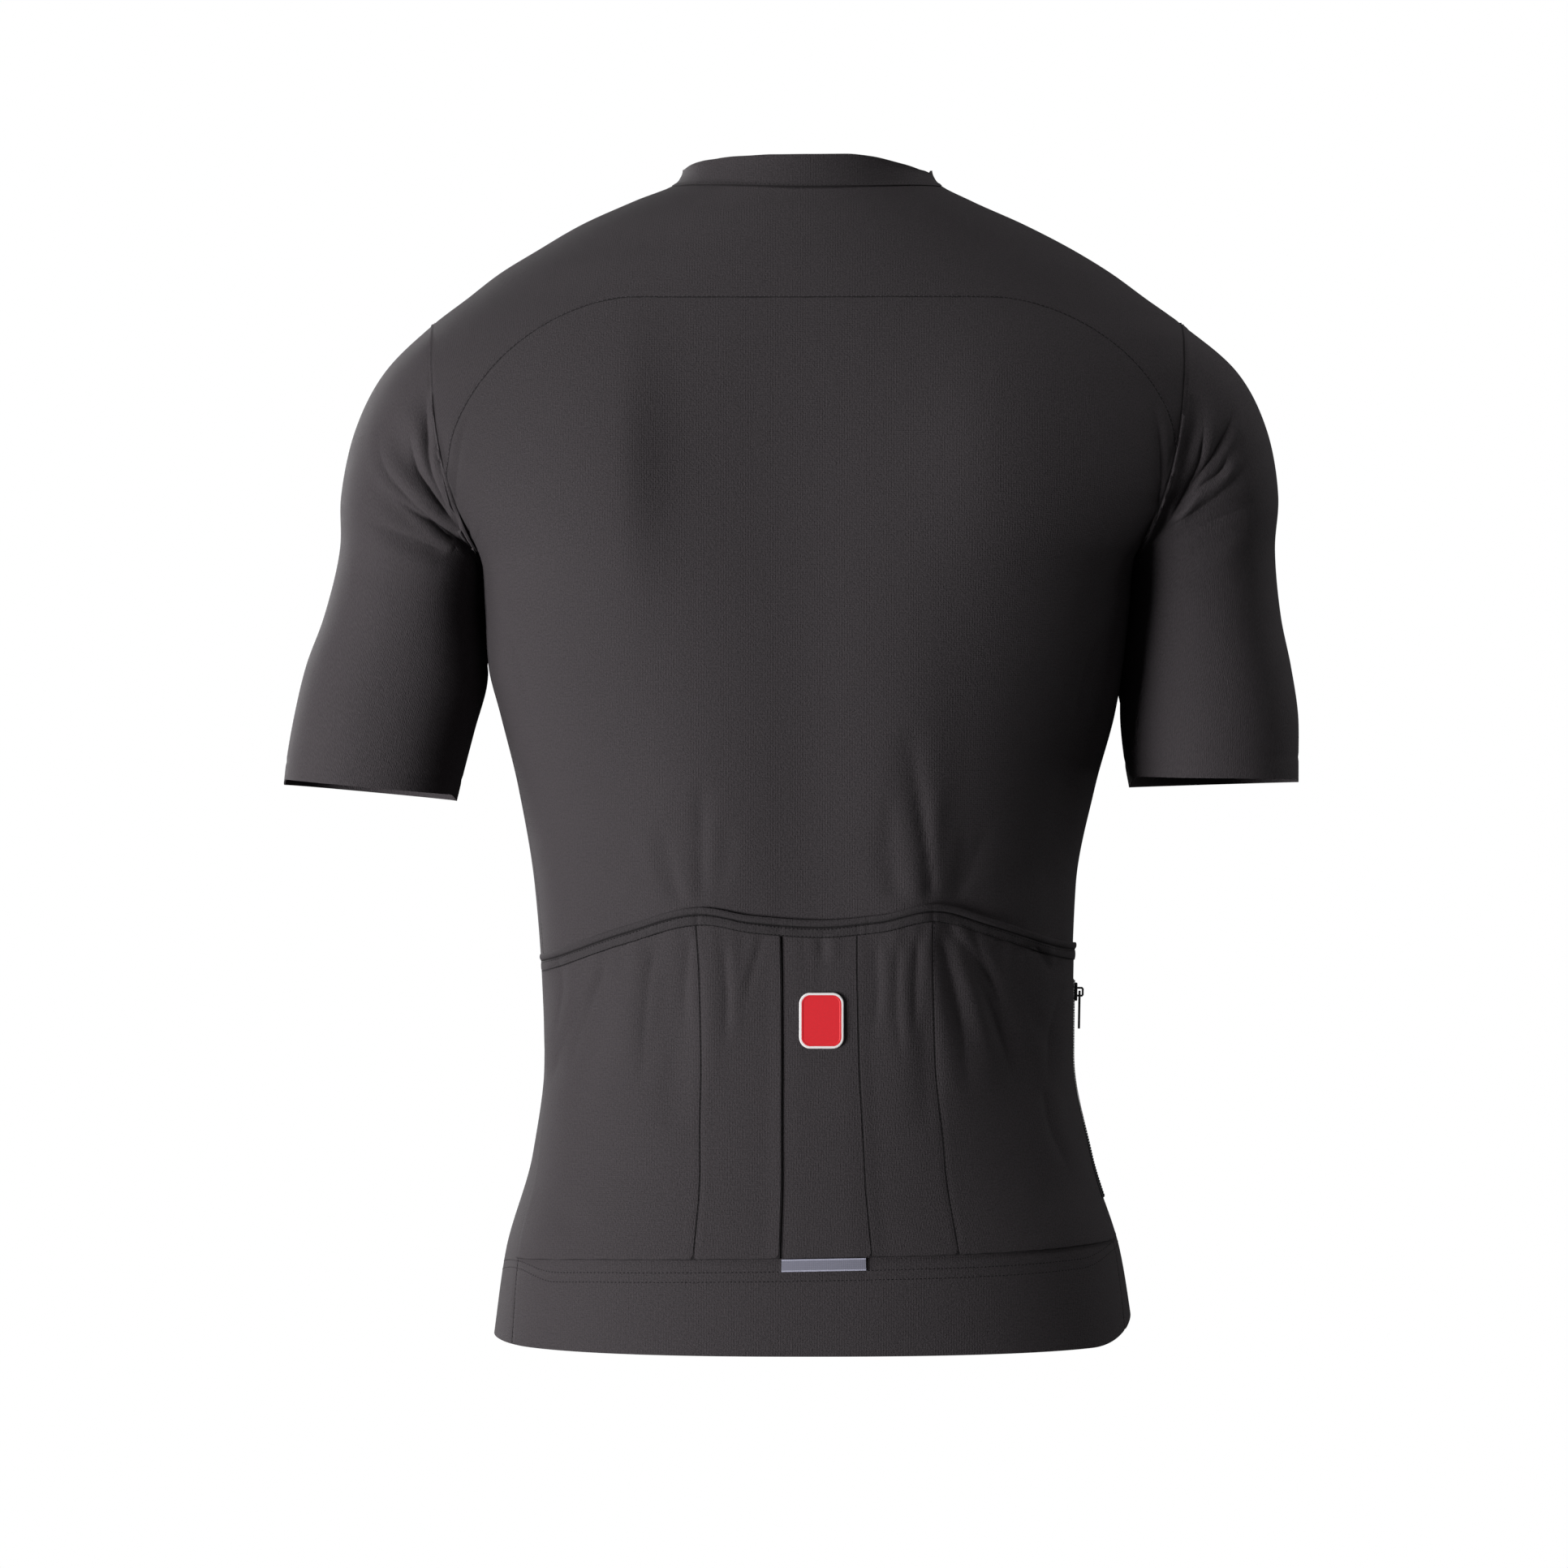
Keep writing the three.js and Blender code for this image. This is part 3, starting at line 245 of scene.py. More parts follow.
FRONT_CREASES = [
    (-176, -208, -140, -190, 4, 2.2, 8),
    (-172, -218, -132, -214, 4, 1.7, 8),
    (176, -210, 138, -192, -4, 2.2, 8),
    (172, -220, 130, -218, -4, 1.7, 8),
    (-189, -180, -214, -140, 5, 2.7, 7),
    (-188, -196, -236, -170, 6, 2.7, 7),
    (189, -180, 216, -142, -5, 2.7, 7),
    (188, -196, 238, -172, -6, 2.7, 7),
    (-140, -420, -90, -404, 5, 1.7, 11),
    (138, -428, 92, -408, -5, 1.7, 11),
    (-120, -470, -60, -462, 5, 1.5, 12),
    (122, -478, 64, -466, -5, 1.5, 12),
    (-96, -520, -110, -590, 4, 1.4, 11),
    (104, -516, 112, -590, -4, 1.4, 11),
    (-152, -236, -100, -264, 6, 2.4, 9),
    (150, -240, 104, -262, -6, 2.2, 9),
    (-128, -300, -84, -332, 5, 1.8, 10),
    (126, -312, 86, -338, -5, 1.8, 10),
    (-60, -96, -22, -70, 3, 1.4, 9),
    (62, -98, 24, -74, -3, 1.4, 9),
]
# Broad hollows and swells: x, z, reach to the left and right, reach up, height
SWELLS = [
    (-100, -160, 70, 21, 62, 6.4),
    (100, -156, 34, 46, 60, 4.2),
    (-12, -180, 50, 66, 100, -5.2),
    (0, -330, 24, 24, 110, -1.6),
    (58, -376, 26, 18, 84, 4.0),
    (146, -372, 52, 30, 75, -4.0),
    (152, -296, 52, 30, 64, -5.5),
    (-62, -370, 30, 30, 80, 2.0),
    (-110, -368, 28, 28, 80, -0.8),
    (62, -470, 30, 30, 60, 1.8),
    (112, -480, 26, 26, 60, -1.8),
]
FRONT_SWELLS = [
    (-86, -162, 46, 52, 56, 5.0),
    (86, -160, 52, 46, 56, 5.0),
    (-74, -268, 50, 50, 30, -3.8),
    (76, -264, 50, 50, 30, -3.8),
    (-70, -372, 34, 34, 66, -2.4),
    (66, -380, 34, 34, 66, -2.4),
    (-92, -480, 34, 34, 60, 2.2),
    (96, -492, 34, 34, 60, 2.2),
    (-44, -560, 24, 24, 60, -1.6),
    (48, -556, 24, 24, 60, -1.6),
]
# Sharp pleats in the back view: depth, width, side of the ridge (1: on the left for one that runs down), points
PLEATS = [
    (2.1, 2.7, -1, [(-207.5, -117), (-207, -142), (-204, -164), (-194, -186)]),
    (0.9, 1.6, 1, [(-203.5, -122), (-201, -142), (-198.5, -162), (-193, -184)]),
    (2.0, 2.5, -1, [(-217, -136), (-213.6, -159), (-204.8, -173), (-192, -190)]),
    (1.3, 2.6, 1, [(-234.4, -132), (-231.7, -157), (-219.8, -174), (-198.7, -194.4), (-190, -199)]),
    (1.8, 2.4, -1, [(-231, -172), (-213.6, -184.7), (-194.2, -195.3), (-184, -204)]),
    (1.0, 5.0, 1, [(-248, -186), (-222, -196), (-196, -206)]),
    (0.5, 2.2, 1, [(-181, -128), (-187, -150), (-190, -170), (-189.5, -184)]),
    (0.9, 1.9, -1, [(-183, -186), (-184, -202), (-180, -214)]),
    (1.8, 2.3, -1, [(215.6, -130), (214.5, -146), (212.1, -158.8), (205.6, -173.8), (196, -189)]),
    (2.0, 2.5, -1, [(232, -119), (229.3, -137.4), (218.5, -156.6), (207.9, -171.7), (195, -191)]),
    (1.7, 2.3, -1, [(230, -150), (225, -162), (212.1, -171.7), (194, -192)]),
    (1.6, 5.0, -1, [(250, -146), (227, -171.7), (210.9, -183.4), (192, -196)]),
    (1.0, 5.0, 1, [(248, -176), (224, -188), (196, -200)]),
    (0.9, 2.2, -1, [(186, -124), (190, -146), (191, -168), (190, -182)]),
    (1.7, 4.0, 1, [(53, -292), (60.5, -346.8), (64, -372.9), (65.5, -398)]),
    (0.8, 5.0, -1, [(40, -330), (44, -362), (47, -396)]),
    (0.9, 4.0, 1, [(-57, -322), (-57, -360), (-57, -398)]),
    (0.6, 5.0, 1, [(-78, -350), (-74, -374), (-68, -398)]),
    (0.7, 6.0, 1, [(98, -350), (90, -374), (78, -398)]),
    (1.0, 2.6, 1, [(106, -448), (89, -425), (73, -408)]),
    (0.9, 2.8, 1, [(108, -462), (98, -434), (86, -409)]),
    (1.5, 6.0, 1, [(88, -508), (80, -450), (68, -408)]),
    (0.8, 4.0, -1, [(118, -505), (100, -455), (80, -416)]),
    (0.7, 2.6, 1, [(50, -486), (47, -450), (48, -414)]),
    (0.7, 2.4, 1, [(57, -470), (57, -440), (58, -412)]),
    (0.6, 2.4, 1, [(35, -470), (37, -444), (36, -416)]),
    (0.9, 2.6, -1, [(112, -424), (125, -421), (134, -433), (140, -428)]),
    (0.9, 3.4, 1, [(131, -500), (133, -467), (141, -440)]),
    (0.8, 3.2, 1, [(146, -552), (132, -520), (128, -496)]),
    (0.9, 3.0, -1, [(-131, -494), (-123.8, -467), (-108, -427)]),
    (0.7, 2.6, 1, [(-138, -478), (-133.5, -444), (-136, -424)]),
    (0.7, 3.4, -1, [(-141, -500), (-134, -476), (-120, -446)]),
    (0.9, 5.0, -1, [(-90, -500), (-87, -450), (-82, -417)]),
    (0.7, 2.6, 1, [(-44, -476), (-43.5, -448), (-45, -416)]),
    (0.6, 2.4, -1, [(-34, -450), (-29, -430), (-24, -412)]),
    (0.6, 2.4, 1, [(-66, -470), (-66, -440), (-62, -410)]),
    (0.5, 3.0, 1, [(6, -428), (8, -420), (6, -414)]),
    (0.7, 5.0, 1, [(-168, -236), (-158, -262), (-150, -296)]),
    (0.7, 5.0, -1, [(166, -238), (156, -266), (150, -300)]),
    (0.6, 6.0, -1, [(-150, -392), (-120, -398), (-86, -396)]),
]

SIGN = {"left": -1, "right": 1}


def lerp(a, b, t):
    return a + (b - a) * t


def smooth(t):
    t = np.clip(t, 0, 1)
    return t * t * (3 - 2 * t)


def curve_of(rows, column):
    """A monotone cubic through one column of a table whose first column is the place."""
    rows = sorted(rows)
    x = np.array([r[0] for r in rows], float)
    y = np.array([r[column] for r in rows], float)
    slope = np.diff(y) / np.diff(x)
    tangent = np.empty(len(x))
    tangent[0], tangent[-1] = slope[0], slope[-1]
    product = slope[:-1] * slope[1:]
    total = np.where(slope[:-1] + slope[1:] == 0, 1, slope[:-1] + slope[1:])
    tangent[1:-1] = np.where(product <= 0, 0, 2 * product / total)

    def value(v):
        c = np.clip(np.asarray(v, float), x[0], x[-1])
        i = np.clip(np.searchsorted(x, c) - 1, 0, len(x) - 2)
        h = x[i + 1] - x[i]
        t = (c - x[i]) / h
        return (
            y[i] * (1 + 2 * t) * (1 - t) ** 2
            + tangent[i] * h * t * (1 - t) ** 2
            + y[i + 1] * t * t * (3 - 2 * t)
            - tangent[i + 1] * h * t * t * (1 - t)
        )

    return value


section = {name: curve_of(BODY_SECTIONS, k) for k, name in enumerate(BODY_COLUMNS) if k}
seam_angle = {"left": curve_of(SIDE_SEAM_ANGLES, 1), "right": curve_of(SIDE_SEAM_ANGLES, 2)}
pocket_top = curve_of(POCKET_TOP, 1)
pocket_bottom = curve_of(POCKET_BOTTOM, 1)


def by_side(angle, table, z):
    return np.where(np.asarray(angle) < 0, table["left"](z), table["right"](z))


def armhole_x(z):
    t = np.clip((z - UNDERARM_Z) / (SHOULDER_POINT_Z - UNDERARM_Z), 0, 1)
    return lerp(UNDERARM_X, SHOULDER_POINT_X, t) + ARMHOLE_BOW * np.sin(math.pi * t**0.8)


def body_point(angle, z):
    """A point of the body cloth at an angle round it (0 back, 90 side, 180 front) and a height."""
    angle, z = np.broadcast_arrays(np.asarray(angle, float), np.asarray(z, float))
    full = by_side(angle, section, z)
    cut = (z > UNDERARM_Z) & (z < SHOULDER_POINT_Z)
    half = np.where(cut, np.minimum(full, armhole_x(z)), full)
    n = section["square"](z)
    x = half * np.abs(np.sin(np.radians(angle))) ** (2 / n)
    depth = np.clip(1 - (x / full) ** n, 0, None) ** (1 / n)
    y = np.where(np.abs(angle) <= 90, -section["back"](z), section["front"](z)) * depth
    return np.stack([np.where(angle < 0, -x, x), y, z], -1)


def front_angle_at(side, x, z):
    n = section["square"](z)
    return 180 - np.degrees(np.arcsin((x / section[side](z)) ** (n / 2)))


def neck_height(angle):
    low = np.full(np.shape(angle), -110.0)
    high = np.full(np.shape(angle), 11.0)
    for _ in range(40):
        z = (low + high) / 2
        p = body_point(angle, z)
        deep = np.where(p[..., 1] < 0, NECK_BACK, NECK_FRONT)
        outside = np.hypot(p[..., 0] / NECK_HALF_WIDTH, p[..., 1] / deep) > 1
        low, high = np.where(outside, z, low), np.where(outside, high, z)
    return (low + high) / 2


def yoke_seam_height(across):
    left = np.asarray(across) < 0
    flat = np.where(left, YOKE_FLAT["left"], YOKE_FLAT["right"])
    end = np.where(left, YOKE_END_Z["left"], YOKE_END_Z["right"]).astype(float)
    reach = armhole_x(end) - flat
    z = lerp(YOKE_SEAM_Z, end, np.abs(across) / 90)
    for _ in range(60):
        u = np.clip((np.abs(body_point(across, z)[..., 0]) - flat) / reach, 0, 1)
        z = lerp(z, end + (YOKE_SEAM_Z - end) * (1 - u**YOKE_ROUND) ** (1 / YOKE_ROUND), 0.3)
    return np.where(np.abs(across) == 90, end, z)


def hem_height(angle):
    side = np.where(np.asarray(angle) < 0, HEM_Z["left"], HEM_Z["right"])
    c = np.cos(np.radians(angle))
    back = lerp(side, HEM_Z["back"], smooth(c * 1.8))
    return np.where(c >= 0, back, lerp(side, HEM_Z["front"], smooth(-c)))


FRONT_SEAM_ARM_Z = SHOULDER_POINT_Z - FRONT_SEAM_DROP


def front_seam(side, t):
    """Angle and height of the front shoulder seam, from the armhole (0) to the neckline (1)."""
    angle = SIGN[side] * lerp(FRONT_EDGE, FRONT_SEAM_NECK_ANGLE, np.asarray(t, float) ** 0.8)
    return angle, lerp(FRONT_SEAM_ARM_Z, neck_height(SIGN[side] * FRONT_SEAM_NECK_ANGLE), t)


def edge_turn(z):
    return math.acos(max(-1, min(1, 2 * (z - UNDERARM_Z) / (SHOULDER_POINT_Z - UNDERARM_Z) - 1)))


def edge_height(start, end, t):
    """Height at a share of a stretch of the armhole edge, evenly round it."""
    turn = lerp(edge_turn(start), edge_turn(end), np.asarray(t, float))
    return lerp(UNDERARM_Z, SHOULDER_POINT_Z, (1 + np.cos(turn)) / 2)


# Rows of the lower body, as in the solids: hem, pocket bottom, binding, pocket top, underarm
HEM_ROWS, POCKET_ROWS, BINDING_ROWS, MIDDLE_ROWS = 3, 10, 1, 10
ROW_BREAKS = np.cumsum([0, HEM_ROWS, POCKET_ROWS, BINDING_ROWS, MIDDLE_ROWS])


def lower_keys(across):
    """Heights of the hem, pocket bottom, binding bottom, pocket top and underarm level at places across."""
    across = np.asarray(across, float)

    def angle(z):
        return across / 90 * by_side(across, seam_angle, z)

    def line(guess, height_of):
        z = np.full(across.shape, float(guess))
        for _ in range(30):
            z = lerp(z, height_of(body_point(angle(z), z)[..., 0]), 0.5)
        return z

    hem = hem_height(angle(np.where(across < 0, HEM_Z["left"], HEM_Z["right"])))
    bottom = line(-586, pocket_bottom)
    top = line(-410, pocket_top)
    level = lerp(UNDERARM_Z, YOKE_SEAM_Z - 60, (1 - (across / 90) ** 2) * 0.35)
    return np.stack([hem, bottom, top - BINDING_HEIGHT, top, level])


def height_at_row(keys, row):
    """Height for rows counted as in the solids, which may be fractions."""
    row = np.asarray(row, float)
    i = np.clip(np.searchsorted(ROW_BREAKS, row, side="right") - 1, 0, len(ROW_BREAKS) - 2)
    t = (row - ROW_BREAKS[i]) / (ROW_BREAKS[i + 1] - ROW_BREAKS[i])
    return lerp(keys[i], keys[i + 1], t.reshape(t.shape + (1,) * (keys.ndim - 1)))


def back_point(across, row):
    """Points of the back below the underarm level: rows by columns."""
    across = np.asarray(across, float)
    z = height_at_row(lower_keys(across), row)
    angle = np.where(z < UNDERARM_Z, across / 90 * by_side(across, seam_angle, z), across)
    return body_point(angle, z)


def eased(grid, free):
    """Evens the depth of a body panel round the underarm level, except along its seams."""
    y, z = grid[..., 1], grid[..., 2]
    even = np.empty_like(y)
    for k in range(z.shape[1]):
        near = np.exp(-(((z[:, None, k] - z[None, :, k]) / 15) ** 2)) * np.abs(np.gradient(z[:, k]))
        even[:, k] = (near * y[None, :, k]).sum(1) / near.sum(1)
    grid[..., 1] = lerp(y, even, smooth((-166 - z) / 14) * smooth((z + 272) / 30) * free)
    return grid


def back_surface(columns, lower, upper):
    across = np.linspace(-90, 90, columns + 1)
    low = back_point(across, np.asarray(lower))
    level, seam = lower_keys(across)[-1], yoke_seam_height(across)
    t = np.linspace(0, 1, upper + 1)[1:, None]
    ends = {s: edge_height(UNDERARM_Z, YOKE_END_Z[s], t) for s in SIGN}
    like = {s: (ends[s] - UNDERARM_Z) / (YOKE_END_Z[s] - UNDERARM_Z) for s in SIGN}
    share = lerp(t, np.where(across < 0, like["left"], like["right"]), np.abs(across / 90) ** 3)
    z = lerp(level, seam, share)
    angle = np.where(z < UNDERARM_Z, across / 90 * by_side(across, seam_angle, z), across)
    return eased(np.concatenate([low, body_point(angle, z)]), smooth((90 - np.abs(across)) / 8))


YOKE_ARM_ROWS, RIDGE_ROWS = 8, 6


def yoke_surfaces(columns, arm_rows, ridge_rows, strip_columns):
    across = np.linspace(-90, 90, columns + 1)
    rows = YOKE_ARM_ROWS + RIDGE_ROWS
    even = np.concatenate(
        [
            np.linspace(0, YOKE_ARM_ROWS, arm_rows + 1)[:-1],
            np.linspace(YOKE_ARM_ROWS, rows, ridge_rows + 1),
        ]
    )[:, None]
    like = {}
    for s in SIGN:
        arm = edge_height(YOKE_END_Z[s], SHOULDER_POINT_Z, np.clip(even / YOKE_ARM_ROWS, 0, 1))
        ridge_t = np.clip((even - YOKE_ARM_ROWS) / RIDGE_ROWS, 0, 1)
        top = neck_height(SIGN[s] * 90.0)
        z = np.where(even < YOKE_ARM_ROWS, arm, lerp(SHOULDER_POINT_Z, top, ridge_t))
        like[s] = (z - YOKE_END_Z[s]) / (top - YOKE_END_Z[s])
    share = lerp(even / rows, np.where(across < 0, like["left"], like["right"]), np.abs(across / 90) ** 4)
    back = body_point(across, lerp(yoke_seam_height(across), neck_height(across), share))
    grids = [back]
    for side, sign in SIGN.items():
        r = np.linspace(0, 1, ridge_rows + 1)[:, None]
        t = np.linspace(0, 1, strip_columns + 1)
        t = (t if side == "right" else t[::-1])[None, :]
        ridge = lerp(SHOULDER_POINT_Z, neck_height(sign * 90.0), r)
        angle, seam = front_seam(side, r)
        angle = lerp(sign * 90, angle, t)
        z = lerp(ridge, seam, t)
        z[-1] = neck_height(angle[-1])
        z[0] = edge_height(SHOULDER_POINT_Z, FRONT_SEAM_ARM_Z, t[0])
        grids.append(body_point(angle, z))
    return grids


def front_surface(side, columns, lower, upper):
    sign = SIGN[side]
    keys = lower_keys(np.array([sign * 90.0]))[:, 0]
    share = np.linspace(0, 1, columns + 1)
    share = share if side == "right" else share[::-1]
    seam_angle_top, seam_top = front_seam(side, np.clip(share * 2, 0, 1))
    zip_top = front_angle_at(side, ZIP_HALF_WIDTH, -54.0)
    neck_angle = sign * lerp(FRONT_SEAM_NECK_ANGLE, zip_top, np.clip(share * 2 - 1, 0, 1))
    at_neck = share > 0.5
    top_angle = np.abs(np.where(at_neck, neck_angle, seam_angle_top))
    top = np.where(at_neck, neck_height(neck_angle), seam_top)
    w = smooth(share * 1.8)
    start = seam_angle[side](keys[0])
    low = np.where(share > 0, hem_height(sign * lerp(start, 180, share)), keys[0])
    middle = lerp(keys[-1], lerp(low, top, 0.68), w)
    lower = np.asarray(lower, float)
    low_up = ((height_at_row(keys, lower) - keys[0]) / (keys[-1] - keys[0]))[:, None]
    t = np.linspace(0, 1, upper + 1)[1:, None]
    arm = edge_height(UNDERARM_Z, FRONT_SEAM_ARM_Z, t)
    arm_up = (arm - UNDERARM_Z) / (FRONT_SEAM_ARM_Z - UNDERARM_Z)
    z = np.concatenate([lerp(low, middle, low_up), lerp(middle, top, lerp(arm_up, t, w))])
    start = np.where(z < UNDERARM_Z - 1e-6, seam_angle[side](z), FRONT_EDGE)
    end = front_angle_at(side, ZIP_HALF_WIDTH, z)
    even = lerp(start, end, share)
    near_top = np.concatenate([np.zeros((len(lower), 1)), smooth(t)])
    angle = lerp(even, top_angle, near_top)
    angle = np.where(share == 0, start, np.where(share == 1, end, angle))
    return eased(body_point(sign * angle, z), smooth(share * 9))


# Height down to which each sleeve lies against the side of the body
CLOSED_DOWN_TO = {"left": -266, "right": -287}


def clear_of_body(side, p):
    n = section["square"](p[..., 2])
    depth = np.where(p[..., 1] < 0, section["back"](p[..., 2]), section["front"](p[..., 2]))
    share = np.clip(np.abs(p[..., 1]) / depth, 0, 1)
    reach = section[side](p[..., 2]) * (1 - share**n) ** (1 / n)
    above = p[..., 2] > UNDERARM_Z
    closed = smooth((p[..., 2] - CLOSED_DOWN_TO[side]) / 7)
    limit = np.where(
        above, np.minimum(reach, armhole_x(p[..., 2])), reach,
    ) + lerp(GAP_UNDER_ARM, -0.5, closed * (~above))
    spare = np.maximum(np.abs(p[..., 0]) - limit, 0)
    spare = spare - 3.4 * np.exp(-spare / 3) * closed * (~above)
    p[..., 0] = SIGN[side] * (limit + np.maximum(spare, 0))
    return p


def sleeve_surface(side, counts, steps):
    """A sleeve from the armhole to the cuff: rows by columns round it.

    The counts run from the underarm up the back and down the front, the steps from the armhole to the cuff.
    """
    sign = SIGN[side]
    low, high, over, front = (np.linspace(0, 1, count + 1)[1:] for count in counts)
    up = np.concatenate([[UNDERARM_Z], edge_height(UNDERARM_Z, YOKE_END_Z[side], low), edge_height(YOKE_END_Z[side], SHOULDER_POINT_Z, high)])
    down = np.concatenate([edge_height(SHOULDER_POINT_Z, FRONT_SEAM_ARM_Z, over), edge_height(FRONT_SEAM_ARM_Z, UNDERARM_Z, front)])
    back, front = body_point(sign * 90, up), body_point(sign * FRONT_EDGE, down)

    def shares(points):
        sums = np.concatenate([[0], np.cumsum(np.linalg.norm(np.diff(points, axis=0), axis=1))])
        return sums / sums[-1]

    turn = np.concatenate([180 * (1 - shares(back)), -180 * shares(np.concatenate([back[-1:], front]))[1:]])
    start = np.concatenate([back, front])
    c, a = np.cos(np.radians(turn)), np.sin(np.radians(turn))
    w, d = np.sign(c) * np.abs(c) ** (2 / 2.15), np.abs(a) ** (2 / 2.15)
    through = []
    for out_x, out_z, in_x, in_z, deep_back, deep_front, fore in SLEEVE_SECTIONS[side]:
        x = (out_x + in_x) / 2 + w * (out_x - in_x) / 2
        z = (out_z + in_z) / 2 + w * (out_z - in_z) / 2
        y = fore + np.where(a > 0, -deep_back, deep_front) * d
        through.append(np.stack([sign * x, y, z], -1))
    through[-1][:, 2] += lerp(*CUFF_RAISE[side], (w + 1) / 2) * smooth(a * 3)
    inward = 90 - 26 * np.abs(a)
    ghost = body_point(sign * np.where(turn > 0, inward, 180 - inward), start[:, 2] + 27 * np.clip(c, 0, None))
    start[:, 0] += sign * UNDERARM_SHIFT * smooth((np.abs(turn) - 120) / 50)
    straight = 2 * start - through[0]
    lead = lerp(ghost, straight, smooth((np.abs(turn) - 95) / 50)[:, None])
    points = [lead, start, *through, 2 * through[-1] - through[-2]]
    rows = [start]
    for p0, p1, p2, p3, count in zip(points, points[1:], points[2:], points[3:], steps):
        d0, d1, d2 = (np.sqrt(np.linalg.norm(b - a, axis=1))[:, None] for a, b in ((p0, p1), (p1, p2), (p2, p3)))
        m1 = ((p1 - p0) / d0 - (p2 - p0) / (d0 + d1) + (p2 - p1) / d1) * d1
        m2 = ((p2 - p1) / d1 - (p3 - p1) / (d1 + d2) + (p3 - p2) / d2) * d1
        for t in np.linspace(0, 1, count + 1)[1:]:
            h = 2 * t**3 - 3 * t**2
            p = (1 + h) * p1 - h * p2 + (t**3 - 2 * t**2 + t) * m1 + (t**3 - t**2) * m2
            rows.append(clear_of_body(side, p))
    grid = np.stack(rows)
    return grid[:, ::-1] if side == "right" else grid


def neck_angles(count):
    """Angles of the neckline from zip to zip round the back."""
    zip_angle = float(front_angle_at("right", ZIP_HALF_WIDTH, -54.0))
    return np.linspace(-zip_angle, zip_angle, count + 1)


def neckline(count):
    angle = neck_angles(count)
    return body_point(angle, neck_height(angle))


def collar_surface(columns, rows):
    angle = neck_angles(columns)
    base = neckline(columns)
    flat = np.hypot(base[:, 0], base[:, 1])
    c = -base[:, 1] / flat
    end = np.where(c > 0, COLLAR_HEIGHT["back"], COLLAR_HEIGHT["front"])
    height = lerp(COLLAR_HEIGHT["side"], end, smooth(np.abs(c)))
    height = height - curve_of(COLLAR_DIP, 1)(base[:, 0]) * smooth(c * 5)
    lap = lerp(*COLLAR_LAP, smooth(np.abs(base[:, 0]) / 50)) * smooth(c * 3)
    lap = np.maximum(lap, 0.6)
    over = body_point(angle, neck_height(angle) - lap)
    out = [over, lerp(over, base, 0.5)]
    for t in np.linspace(0, 1, rows + 1):
        inward = (COLLAR_LEAN * math.sin(math.pi / 2 * t) / flat)[:, None]
        p = base * np.concatenate([1 - inward, 1 - inward, np.ones_like(inward)], 1)
        p[[0, -1], 0] = base[[0, -1], 0]
        p[:, 2] = base[:, 2] + height * t
        out.append(p)
    return np.stack(out)


# Relief of the cloth


def spread(x, y, z):
    """Rows of points at places across, each row at its own depth and height."""
    return np.stack(np.broadcast_arrays(x, y[:, None], z[:, None]), -1)


def crease_sum(x, z, table):
    """How far the creases of a table press the cloth in at points seen from the back or the front."""
    total = np.zeros(len(x))
    for x0, z0, x1, z1, bow, depth, width in table:
        dx, dz = x1 - x0, z1 - z0
        long = math.hypot(dx, dz)
        t = ((x - x0) * dx + (z - z0) * dz) / long**2
        arch = np.sin(math.pi * np.clip(t, 0, 1))
        off = ((x - x0) * dz - (z - z0) * dx) / long + bow * arch
        total += np.where((t > 0) & (t < 1), depth * arch**0.7 * np.exp(-((off / width) ** 2)), 0)
    return total


def smooth_line(points, count=28):
    """A smooth line through some points."""
    p = np.asarray(points, float)
    p = np.concatenate([[2 * p[0] - p[1]], p, [2 * p[-1] - p[-2]]])
    at = np.linspace(0, len(p) - 3.000001, count)
    i = at.astype(int)
    t = (at - i)[:, None]
    a, b, c, d = p[i], p[i + 1], p[i + 2], p[i + 3]
    return b + 0.5 * t * (c - a + t * (2 * a - 5 * b + 4 * c - d + t * (3 * (b - c) + d - a)))


def pleat_sum(x, z, table):
    """Height of sharp pleats at points seen from the back. Each is faint where its line starts."""
    total = np.zeros(len(x))
    for depth, width, side, points in table:
        line = smooth_line(points)
        reach = 4 * width
        low, high = line.min(0) - reach, line.max(0) + reach
        near = np.flatnonzero((x > low[0]) & (x < high[0]) & (z > low[1]) & (z < high[1]))
        if not len(near):
            continue
        px, pz = x[near], z[near]
        best, off, share = np.full(len(near), np.inf), np.zeros(len(near)), np.zeros(len(near))
        for k, (a, b) in enumerate(zip(line, line[1:])):
            way = b - a
            long = math.hypot(*way)
            t = np.clip(((px - a[0]) * way[0] + (pz - a[1]) * way[1]) / long**2, 0, 1)
            gone = np.hypot(px - a[0] - t * way[0], pz - a[1] - t * way[1])
            aside = ((px - a[0]) * way[1] - (pz - a[1]) * way[0]) / long
            closer = gone < best
            best = np.where(closer, gone, best)
            off = np.where(closer, np.copysign(gone, aside), off)
            share = np.where(closer, (k + t) / (len(line) - 1), share)
        strength = smooth(share / 0.4) * smooth((1 - share) / 0.15)
        trough = -1.2 * np.exp(-np.abs(off / width) * 1.5)
        ridge = 0.62 * np.exp(-(((off - side * 1.8 * width) / (1.3 * width)) ** 2))
        total[near] += depth * strength * (trough + ridge)
    return total


def gathers(x, z):
    """Small gathers that the elastic edge of the pockets draws into the cloth below and above it."""
    below = pocket_top(x) - BINDING_HEIGHT - z
    above = z - pocket_top(x)
    wave = np.sin(x / 2.1 + 1.7 * np.sin(x / 9.0)) * 0.6 + np.sin(x / 3.7 + 2.0) * 0.4
    strength = 0.5 + 0.5 * np.sin(x / 17.0 + 0.8) ** 2
    low = np.where(below > 0, np.exp(-below / 16), 0) * 0.42
    high = np.where(above > 0, np.exp(-above / 11), 0) * 0.2
    return wave * strength * (low + high)


